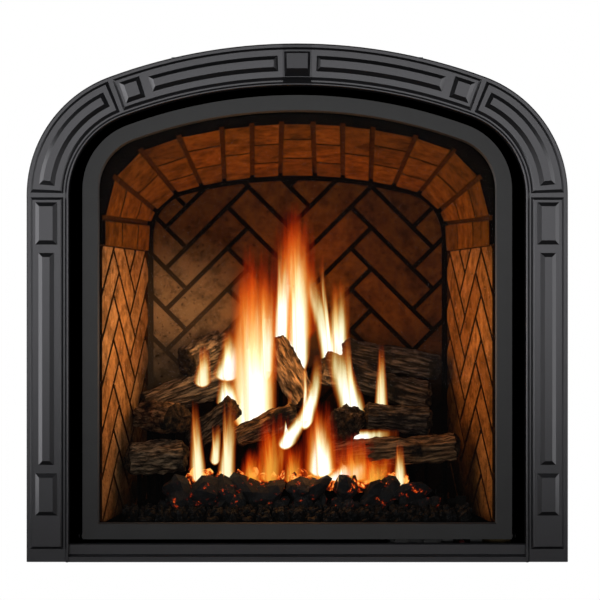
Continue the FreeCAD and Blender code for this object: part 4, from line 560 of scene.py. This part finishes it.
def trunk(name, diameter, start, end, tone, seed):
    """One fired log: a ringed cylinder, roughened along its grain."""
    start, end = Vector(start), Vector(end)
    run = end - start
    turn = run.to_track_quat("Z", "Y").to_euler()
    bpy.ops.object.select_all(action="DESELECT")
    bpy.ops.mesh.primitive_cylinder_add(vertices=LOG_SIDES, radius=diameter * LOG_CORE, depth=run.length,
                                        location=(start + end) / 2, rotation=turn)
    made = bpy.context.object
    made.name = name + "_bark"
    for mat in (barks[tone], end_grain.mat):
        made.data.materials.append(mat)
    for face in made.data.polygons:
        face.material_index = int(len(face.vertices) > 4)
    edit(made, "EDGE")
    bpy.ops.object.mode_set(mode="OBJECT")
    for edge in made.data.edges:
        first, second = (made.data.vertices[i].co for i in edge.vertices)
        edge.select = abs(first.z - second.z) > run.length / 2
    bpy.ops.object.mode_set(mode="EDIT")
    bpy.ops.mesh.subdivide(number_cuts=max(RINGS_LEAST, int(run.length / RING_STEP)))
    bpy.ops.mesh.select_all(action="DESELECT")
    bpy.ops.mesh.select_mode(type="FACE")
    bpy.ops.mesh.select_face_by_sides(number=LOG_SIDES - 1, type="GREATER")
    for share, swell in END_STEPS:
        bpy.ops.mesh.inset(thickness=diameter * share, depth=diameter * swell, use_individual=True)
    bpy.ops.mesh.poke()
    bpy.ops.object.mode_set(mode="OBJECT")
    bpy.ops.object.select_all(action="DESELECT")
    # Every log takes its relief from a stretch of the noise of its own
    bpy.ops.object.empty_add(location=start - run * (0.7 * seed + 1), rotation=turn)
    guide = bpy.context.object
    guide.scale = (1.0, 1.0, GRAIN_STRETCH)
    bpy.context.view_layer.update()
    settle(made)
    for size, octaves, height in RELIEF:
        displace(made, size, octaves, diameter * height, guide)
    bpy.data.objects.remove(guide)
    alone(made)
    bpy.ops.object.shade_smooth_by_angle(angle=BARK_ANGLE)
    return fit(made, "fired_log", "casing", name)


for seed, (name, values) in enumerate(LOGS.items()):
    trunk(name, *values, seed)


# Embers, coals and crushed rock
EMBER_STRENGTH = 1.3


def glow_lump(name, hot):
    """Black lump with glowing cracks; hot is how much of it glows."""
    made = Surface(name, roughness=0.85, specular=0.3)
    tone = made.noise(0.012, 6.0, 0.7)
    made.color(made.ramp(tone, (0.35, (0.002, 0.002, 0.0022)), (0.75, (0.011, 0.0115, 0.0125))))
    heat = made.noise(0.016, 5.0, 0.7)
    fire = made.span(heat, 0.62 - hot, 0.80 - hot)
    made.glow(made.ramp(fire, (0.0, (0.0, 0.0, 0.0)), (0.35, (0.35, 0.02, 0.0)), (0.7, (1.0, 0.20, 0.02)),
                        (1.0, (1.0, 0.52, 0.12))), EMBER_STRENGTH)
    made.bump(made.noise(0.004, 8.0, 0.7), 0.003, 0.9)
    return made.mat


coal_black = glow_lump("coal", 0.03)
ember_red = glow_lump("embers", 0.20)
rock_dark = plain("dark rock", (0.0006, 0.0006, 0.0007), (0.0032, 0.0034, 0.0037), 0.010, 0.65,
                  grain=0.003, depth=0.0015, specular=0.12)

LUMP_NOISE, LUMP_RELIEF = 1.1, 1.3  # shares of a lump's size
PATCH_X, PATCH_Y = 0.37, 0.11       # steps from one lump's patch of noise to the next one's
STRETCHES = ((0.9, 1.3), (0.8, 1.2), (0.6, 0.9))  # of a copy, along each axis


def any_turn():
    """Angles that leave a lump any way up."""
    return [dice.uniform(0, math.tau) for _ in range(3)]


def lump(size, seed):
    """Broken lump: a ball of flat faces, pushed out of round by its own patch of noise."""
    turn = any_turn()
    patch = Vector((PATCH_X * seed, PATCH_Y * seed, 0))
    bpy.ops.object.select_all(action="DESELECT")
    bpy.ops.mesh.primitive_ico_sphere_add(subdivisions=2, radius=size, location=patch)
    made = bpy.context.object
    settle(made)
    displace(made, size * LUMP_NOISE, 1, size * LUMP_RELIEF)
    made.data.transform(Matrix.Translation(-patch))
    made.rotation_euler = turn
    settle(made)
    return made


def copy_of(model, place, size):
    """Copy of a lump with its own mesh, turned and sized."""
    alone(model)
    bpy.ops.object.duplicate()
    made = bpy.context.object
    made.rotation_euler = any_turn()
    made.scale = [size * dice.uniform(*stretch) for stretch in STRETCHES]
    made.location = place
    settle(made)
    return made


def heap(pieces, name, finish):
    """Flat-faced lumps as one object in one finish."""
    made = joined(pieces, name)
    made.data.materials.append(finish)
    alone(made)
    bpy.ops.object.shade_flat()
    return made


FLOOR, BURNER = 0.065, 0.115  # tops of the firebox floor and of the burner
COAL_MODELS, COAL_RADIUS = 5, 0.020
# Row of coals along the burner's front edge, and crumbs at its foot; sizes are shares of a model's
COALS, COAL_ROW, COAL_PLACE, COAL_SIZES = 11, 0.524, (0.112, 0.116), (1.35, 1.75)
COAL_JITTER, COAL_LIFT = (0.2, 0.8), (-0.004, 0.010)
CRUMBS, CRUMB_ROW, CRUMB_SIZES = 34, 0.57, (0.5, 0.9)
CRUMB_DEPTHS, CRUMB_HEIGHTS = (0.096, 0.106), (0.088, 0.104)
models = [lump(COAL_RADIUS, index) for index in range(COAL_MODELS)]
coals = []
for index in range(COALS):
    x = -COAL_ROW / 2 + COAL_ROW * (index + dice.uniform(*COAL_JITTER)) / COALS
    place = (x, COAL_PLACE[0], COAL_PLACE[1] + dice.uniform(*COAL_LIFT))
    coals.append(copy_of(models[index % COAL_MODELS], place, dice.uniform(*COAL_SIZES)))
for index in range(CRUMBS):
    x = -CRUMB_ROW / 2 + CRUMB_ROW * (index + dice.uniform(0, 1)) / CRUMBS
    place = (x, dice.uniform(*CRUMB_DEPTHS), dice.uniform(*CRUMB_HEIGHTS))
    coals.append(copy_of(models[index % COAL_MODELS], place, dice.uniform(*CRUMB_SIZES)))
fit(heap(coals, "coal_lumps", coal_black), "ember_coal", "casing", "glowing_coals")

# Embers strewn over the burner: range across, in depth and above its top
EMBERS, EMBER_SIZES = 90, (0.4, 0.9)
EMBERS_ACROSS, EMBERS_DEEP, EMBERS_ABOVE = (-0.225, 0.215), (0.128, 0.225), (0.004, 0.030)
embers = []
for index in range(EMBERS):
    place = (dice.uniform(*EMBERS_ACROSS), dice.uniform(*EMBERS_DEEP), BURNER + dice.uniform(*EMBERS_ABOVE))
    embers.append(copy_of(models[index % COAL_MODELS], place, dice.uniform(*EMBER_SIZES)))
fit(heap(embers, "ember_bed", ember_red), "ember_coal")
for model in models:
    bpy.data.objects.remove(model)

# Crushed rock: a handful of chips, strewn in rows over the floor in front of the burner
CHIP_MODELS, CHIP_RADIUS, CHIP_SIZES, CHIP_SEED = 6, 0.0065, (0.6, 1.5), 9
CHIPS_IN_HANDFUL, HANDFUL_TALL = 30, 0.018
HANDFUL_SLUMP = 1.5  # power that keeps most chips low
HANDFUL_ACROSS, HANDFUL_DEEP = (-0.045, 0.045), (-0.016, 0.016)
ROCK_ROWS, ROW_PITCH, ROW_RISE = 3, 0.022, 0.002
ROCK_COLUMNS, COLUMN_PITCH = 10, 0.0655
ROCK_FRONT, ROCK_LIFT, ROCK_TURNS = 0.040, 0.007, (-0.3, 0.3)
chips = [lump(CHIP_RADIUS, index + CHIP_SEED) for index in range(CHIP_MODELS)]
handful = []
for index in range(CHIPS_IN_HANDFUL):
    place = (dice.uniform(*HANDFUL_ACROSS), dice.uniform(*HANDFUL_DEEP),
             HANDFUL_TALL * dice.random() ** HANDFUL_SLUMP)
    handful.append(copy_of(chips[index % CHIP_MODELS], place, dice.uniform(*CHIP_SIZES)))
handful = joined(handful, "handful")
rocks = []
for row in range(ROCK_ROWS):
    for column in range(ROCK_COLUMNS):
        alone(handful)
        bpy.ops.object.duplicate()
        made = bpy.context.object
        made.rotation_euler = (0, 0, dice.uniform(*ROCK_TURNS) + math.pi * dice.randrange(2))
        made.location = (COLUMN_PITCH * (column - (ROCK_COLUMNS - 1) / 2), ROCK_FRONT + ROW_PITCH * row,
                         FLOOR + ROCK_LIFT + ROW_RISE * row)
        settle(made)
        rocks.append(made)
fit(heap(rocks, "rock_bed", rock_dark), "dark_rock", "casing", "crushed_rock")
for made in chips + [handful]:
    bpy.data.objects.remove(made)


# Flames
WHITE_HEAT = ((0.0, (0.95, 0.09, 0.004)), (0.14, (1.0, 0.26, 0.025)), (0.28, (1.0, 0.50, 0.12)),
              (0.44, (1.0, 0.76, 0.33)), (0.62, (1.0, 0.90, 0.55)), (0.84, (1.0, 0.97, 0.85)))
PALE_HEAT = ((0.0, (0.90, 0.08, 0.004)), (0.20, (1.0, 0.26, 0.03)), (0.40, (1.0, 0.48, 0.12)),
             (0.65, (1.0, 0.74, 0.32)), (0.95, (1.0, 0.90, 0.58)))
ORANGE_HEAT = ((0.0, (0.50, 0.015, 0.0)), (0.30, (0.92, 0.065, 0.002)), (0.60, (1.0, 0.18, 0.009)),
               (1.0, (1.0, 0.42, 0.05)))
STREAKS = (22.0, 22.0, 1.6)         # stretch of the noise that makes a flame streaky
FOOT_ROUND, FOOT_FADE = 0.14, 0.06  # shares of a flame's height


def flame_skin(name, heats, strength, cover, ragged):
    """Burning gas: hottest low down and along its middle, fading out upwards and sideways."""
    made = Surface(name, roughness=1.0, specular=0.0)
    made.shader.inputs["Base Color"].default_value = (0.0, 0.0, 0.0, 1.0)
    # Across and up the sheet; side is 0 at its middle and 1 at its edges
    across, rise = made.axis("X", "UV"), made.axis("Y", "UV")
    streak = made.noise(0.25, 4.0, 0.6, made.coords("Object", STREAKS))
    side = made.math("ABSOLUTE", made.math("MULTIPLY_ADD", across, 2.0, -1.0))
    ragged_side = made.math("ADD", side, made.math("MULTIPLY_ADD", streak, ragged, -0.5 * ragged))
    lift = made.math("ADD", rise, made.math("MULTIPLY_ADD", streak, 1.3 * ragged, -0.65 * ragged))
    heat = made.math("MULTIPLY", made.span(ragged_side, 1.0, 0.2), made.span(lift, 1.0, 0.15))
    # The foot is rounded off and fades in
    foot = made.math("MULTIPLY_ADD", made.math("POWER", side, 2.0), -FOOT_ROUND, rise)
    heat = made.math("MULTIPLY", heat, made.span(foot, 0.0, FOOT_FADE))
    made.glow(made.ramp(heat, *heats), made.span(heat, 0.1, 0.8, 1.1, strength))
    made.link(made.math("MULTIPLY", made.math("POWER", heat, 0.75), cover), made.shader.inputs["Alpha"])
    return made.mat


# Each flame: middle of its foot, middle of its top, width at foot and top, sideways bow
FLAMES = {
    "flames": (flame_skin("flame", WHITE_HEAT, 1.6, 1.0, 0.25), [
        ((-0.094, 0.228, 0.215), (-0.088, 0.240, 0.575), 0.070, 0.070, 0.000),
        ((-0.098, 0.236, 0.220), (-0.092, 0.246, 0.560), 0.068, 0.062, 0.000),
        ((-0.090, 0.220, 0.215), (-0.088, 0.232, 0.510), 0.066, 0.058, 0.003),
        ((-0.066, 0.232, 0.330), (-0.062, 0.240, 0.550), 0.026, 0.026, 0.000),
        ((-0.142, 0.222, 0.280), (-0.150, 0.230, 0.352), 0.044, 0.016, 0.000),
        ((-0.038, 0.345, 0.370), (-0.010, 0.352, 0.660), 0.026, 0.036, -0.004),
        ((0.004, 0.345, 0.330), (-0.004, 0.352, 0.690), 0.032, 0.044, 0.003),
        ((-0.004, 0.350, 0.340), (-0.008, 0.356, 0.620), 0.030, 0.032, 0.000),
        ((0.073, 0.345, 0.330), (0.022, 0.352, 0.600), 0.030, 0.028, 0.005),
        ((0.085, 0.350, 0.335), (0.092, 0.356, 0.550), 0.040, 0.030, 0.000),
        ((-0.148, 0.266, 0.330), (-0.136, 0.272, 0.444), 0.050, 0.034, 0.004),
        ((-0.026, 0.125, 0.200), (0.030, 0.132, 0.322), 0.032, 0.020, 0.004),
        ((0.014, 0.128, 0.240), (0.040, 0.136, 0.392), 0.028, 0.014, 0.005),
        ((0.120, 0.250, 0.235), (0.076, 0.254, 0.440), 0.046, 0.036, 0.000),
        ((0.100, 0.190, 0.214), (0.210, 0.192, 0.230), 0.034, 0.012, 0.000),
        ((0.048, 0.120, 0.144), (0.045, 0.130, 0.282), 0.050, 0.022, 0.000),
        ((0.092, 0.120, 0.138), (0.122, 0.126, 0.186), 0.080, 0.040, 0.000),
    ]),
    "low_flames": (flame_skin("low flame", PALE_HEAT, 1.25, 0.95, 0.3), [
        ((-0.200, 0.264, 0.318), (-0.194, 0.270, 0.414), 0.032, 0.012, 0.000),
        ((0.175, 0.250, 0.258), (0.176, 0.254, 0.412), 0.024, 0.008, 0.000),
        ((-0.200, 0.120, 0.132), (-0.206, 0.128, 0.302), 0.028, 0.009, 0.000),
        ((-0.143, 0.120, 0.136), (-0.132, 0.128, 0.302), 0.030, 0.014, 0.000),
        ((-0.166, 0.124, 0.170), (-0.160, 0.130, 0.252), 0.018, 0.011, 0.000),
        ((0.206, 0.116, 0.128), (0.206, 0.122, 0.218), 0.022, 0.010, 0.000),
    ]),
    "orange_flames": (flame_skin("orange flame", ORANGE_HEAT, 1.1, 0.68, 0.5), [
        ((-0.057, 0.121, 0.132), (-0.046, 0.132, 0.275), 0.044, 0.056, 0.004),
        ((-0.010, 0.121, 0.132), (-0.006, 0.130, 0.222), 0.034, 0.028, 0.000),
        ((-0.092, 0.121, 0.132), (-0.090, 0.130, 0.206), 0.044, 0.024, 0.000),
        ((0.048, 0.123, 0.132), (0.045, 0.133, 0.300), 0.070, 0.040, 0.000),
        ((0.150, 0.121, 0.132), (0.168, 0.130, 0.206), 0.070, 0.050, 0.000),
        ((0.112, 0.119, 0.134), (0.112, 0.125, 0.236), 0.062, 0.066, 0.000),
        ((-0.008, 0.360, 0.400), (-0.006, 0.368, 0.715), 0.084, 0.060, 0.000),
        ((-0.090, 0.256, 0.300), (-0.086, 0.262, 0.620), 0.078, 0.070, 0.000),
    ]),
}

SHEET_WIDTH = 1.45  # width of a sheet over the width that is seen to burn
SHEET_CELLS = {"x_subdivisions": 8, "y_subdivisions": 24}
CROSS_ANGLE = 1.25  # turn of the second sheet of a flame
ROW_REACH = 0.003   # how far off its height a point still counts to a row, as a share of the flame


def row_move(obj, share, reach, widen=1.0, shift=(0, 0, 0)):
    """Widens or shifts the row of points at a share of the height, drawing its neighbours along."""
    edit(obj, "VERT")
    bpy.ops.object.mode_set(mode="OBJECT")
    tall = max(v.co.z for v in obj.data.vertices)
    for vertex in obj.data.vertices:
        vertex.select = abs(vertex.co.z - share * tall) < ROW_REACH * tall
    bpy.ops.object.mode_set(mode="EDIT")
    soft = {"use_proportional_edit": True, "proportional_size": reach * tall}
    if widen != 1.0:
        bpy.ops.transform.resize(value=(widen, 1, 1), center_override=(0, 0, share * tall),
                                 proportional_edit_falloff="LINEAR", **soft)
    if any(shift):
        bpy.ops.transform.translate(value=shift, proportional_edit_falloff="SMOOTH", **soft)
    bpy.ops.object.mode_set(mode="OBJECT")


def flame(foot, top, wide, narrow, bow):
    """One tongue: an upright grid drawn in or out at its top, bowed and leant over."""
    foot, top = Vector(foot), Vector(top)
    lean = top - foot
    tall = lean.z if lean.z > abs(lean.x) else lean.length
    bpy.ops.object.select_all(action="DESELECT")
    bpy.ops.mesh.primitive_grid_add(**SHEET_CELLS, size=1.0, location=(0, 0, tall / 2),
                                    rotation=(math.pi / 2, 0, 0))
    made = bpy.context.object
    made.scale = (SHEET_WIDTH * wide, tall, 1.0)
    settle(made)
    row_move(made, 1.0, 1.0, narrow / wide)
    if bow:
        row_move(made, 0.5, 0.5, 1.0, (bow, 0, 0))
    if lean.z > abs(lean.x):
        row_move(made, 1.0, 1.05, 1.0, (lean.x, lean.y, 0))
    else:
        made.rotation_euler = (0, math.atan2(lean.x, lean.z), 0)
    made.location = foot
    settle(made)
    bpy.ops.object.shade_smooth()
    return made


for name, (skin, places) in FLAMES.items():
    sheets = [flame(*values) for values in places]
    for (foot, *_), sheet in zip(places, list(sheets)):
        alone(sheet)
        bpy.ops.object.duplicate()
        turned = bpy.context.object
        base = Vector(foot)
        turned.matrix_world = (Matrix.Translation(base) @ Matrix.Rotation(CROSS_ANGLE, 4, "Z")
                               @ Matrix.Translation(-base))
        settle(turned)
        sheets.append(turned)
    flames = joined(sheets, name)
    flames.data.materials.append(skin)
    fit(flames, "ember_coal")


# Floor, backdrop, light and camera
STUDIO_SIZE, BACKDROP_PLACE = 24, (0, 9, 6)
FLOOR_GAP = 0.0005  # from the floor up to the object
STUDIO_DIM = 0.03   # light from all round


def white_to_camera(tree, shader, white, output):
    """Shows the camera plain white and all other rays the shader."""
    white.inputs["Color"].default_value = (1, 1, 1, 1)
    white.inputs["Strength"].default_value = 1.0
    seen = tree.nodes.new("ShaderNodeLightPath")
    pick = tree.nodes.new("ShaderNodeMixShader")
    tree.links.new(seen.outputs["Is Camera Ray"], pick.inputs["Fac"])
    tree.links.new(shader.outputs[0], pick.inputs[1])
    tree.links.new(white.outputs[0], pick.inputs[2])
    tree.links.new(pick.outputs["Shader"], tree.nodes[output].inputs["Surface"])


def studio_paint(name, level):
    """Surface that reads white to the camera and throws back a share of the light."""
    made = bpy.data.materials.new(name)
    made.use_nodes = True
    tree = made.node_tree
    shader = tree.nodes["Principled BSDF"]
    shader.inputs["Base Color"].default_value = (level, level, level, 1)
    shader.inputs["Roughness"].default_value = 0.9
    white_to_camera(tree, shader, tree.nodes.new("ShaderNodeEmission"), "Material Output")
    return made


bpy.ops.object.select_all(action="DESELECT")
bpy.ops.mesh.primitive_plane_add(size=STUDIO_SIZE, location=(0, 0, -FLOOR_GAP))
floor = bpy.context.object
floor.name = "floor"
floor.data.materials.append(studio_paint("pale floor", 0.06))
bpy.ops.mesh.primitive_plane_add(size=STUDIO_SIZE, location=BACKDROP_PLACE, rotation=(math.pi / 2, 0, 0))
backdrop = bpy.context.object
backdrop.name = "backdrop"
backdrop.data.materials.append(studio_paint("pale backdrop", 0.3))


def placed(name, data, place):
    """Puts a lamp or a camera into the scene."""
    made = bpy.data.objects.new(name, data)
    made.location = place
    bpy.context.scene.collection.objects.link(made)
    return made


def softbox(name, place, aim, size, power):
    """Large soft light aimed at a point."""
    data = bpy.data.lights.new(name, "AREA")
    data.shape = "RECTANGLE"
    data.size, data.size_y = size
    data.energy = power
    made = placed(name, data, place)
    made.rotation_euler = (Vector(aim) - Vector(place)).to_track_quat("-Z", "Y").to_euler()


softbox("left softbox", (-1.15, -0.28, 0.58), (-0.45, 0, 0.58), (0.5, 1.1), 6.3)
softbox("right softbox", (1.15, -0.28, 0.58), (0.45, 0, 0.58), (0.5, 1.1), 4)
softbox("front fill", (0.0, -3.4, 0.95), (0, 0, 0.95), (2.9, 1.6), 36)
softbox("rear fill", (1.2, 3.0, 2.0), (0, 0.45, 0.45), (2.7, 2.1), 32)


def fire_light(name, place, radius, power, color):
    """Warm light that the fire throws on the bricks and logs."""
    data = bpy.data.lights.new(name, "POINT")
    data.shadow_soft_size = radius
    data.energy = power
    data.color = color
    placed(name, data, place)


fire_light("fire light", (-0.05, 0.16, 0.43), 0.07, 2.7, (1.0, 0.43, 0.10))
fire_light("left fire light", (-0.17, 0.26, 0.39), 0.05, 0.35, (1.0, 0.60, 0.26))
fire_light("left wall light", (-0.21, 0.10, 0.41), 0.05, 0.55, (1.0, 0.60, 0.28))
fire_light("right wall light", (0.21, 0.10, 0.43), 0.05, 0.42, (1.0, 0.46, 0.14))
fire_light("back glow", (0.0, 0.30, 0.57), 0.05, 0.42, (1.0, 0.36, 0.06))
fire_light("ember light", (0.02, 0.115, 0.185), 0.04, 0.4, (1.0, 0.32, 0.06))
fire_light("heart light", (0.035, 0.24, 0.335), 0.03, 0.3, (1.0, 0.50, 0.18))

world = bpy.data.worlds.new("studio")
world.use_nodes = True
dim = world.node_tree.nodes["Background"]
dim.inputs["Color"].default_value = (1, 1, 1, 1)
dim.inputs["Strength"].default_value = STUDIO_DIM
white_to_camera(world.node_tree, dim, world.node_tree.nodes.new("ShaderNodeBackground"), "World Output")
bpy.context.scene.world = world

lens = bpy.data.cameras.new("camera")
lens.sensor_width = 36
lens.lens = 94.14
camera = placed("camera", lens, (0.0053, -3.032, 0.503))
camera.rotation_euler = (math.pi / 2, 0, 0)
bpy.context.scene.camera = camera
bpy.context.scene.view_settings.view_transform = "Standard"
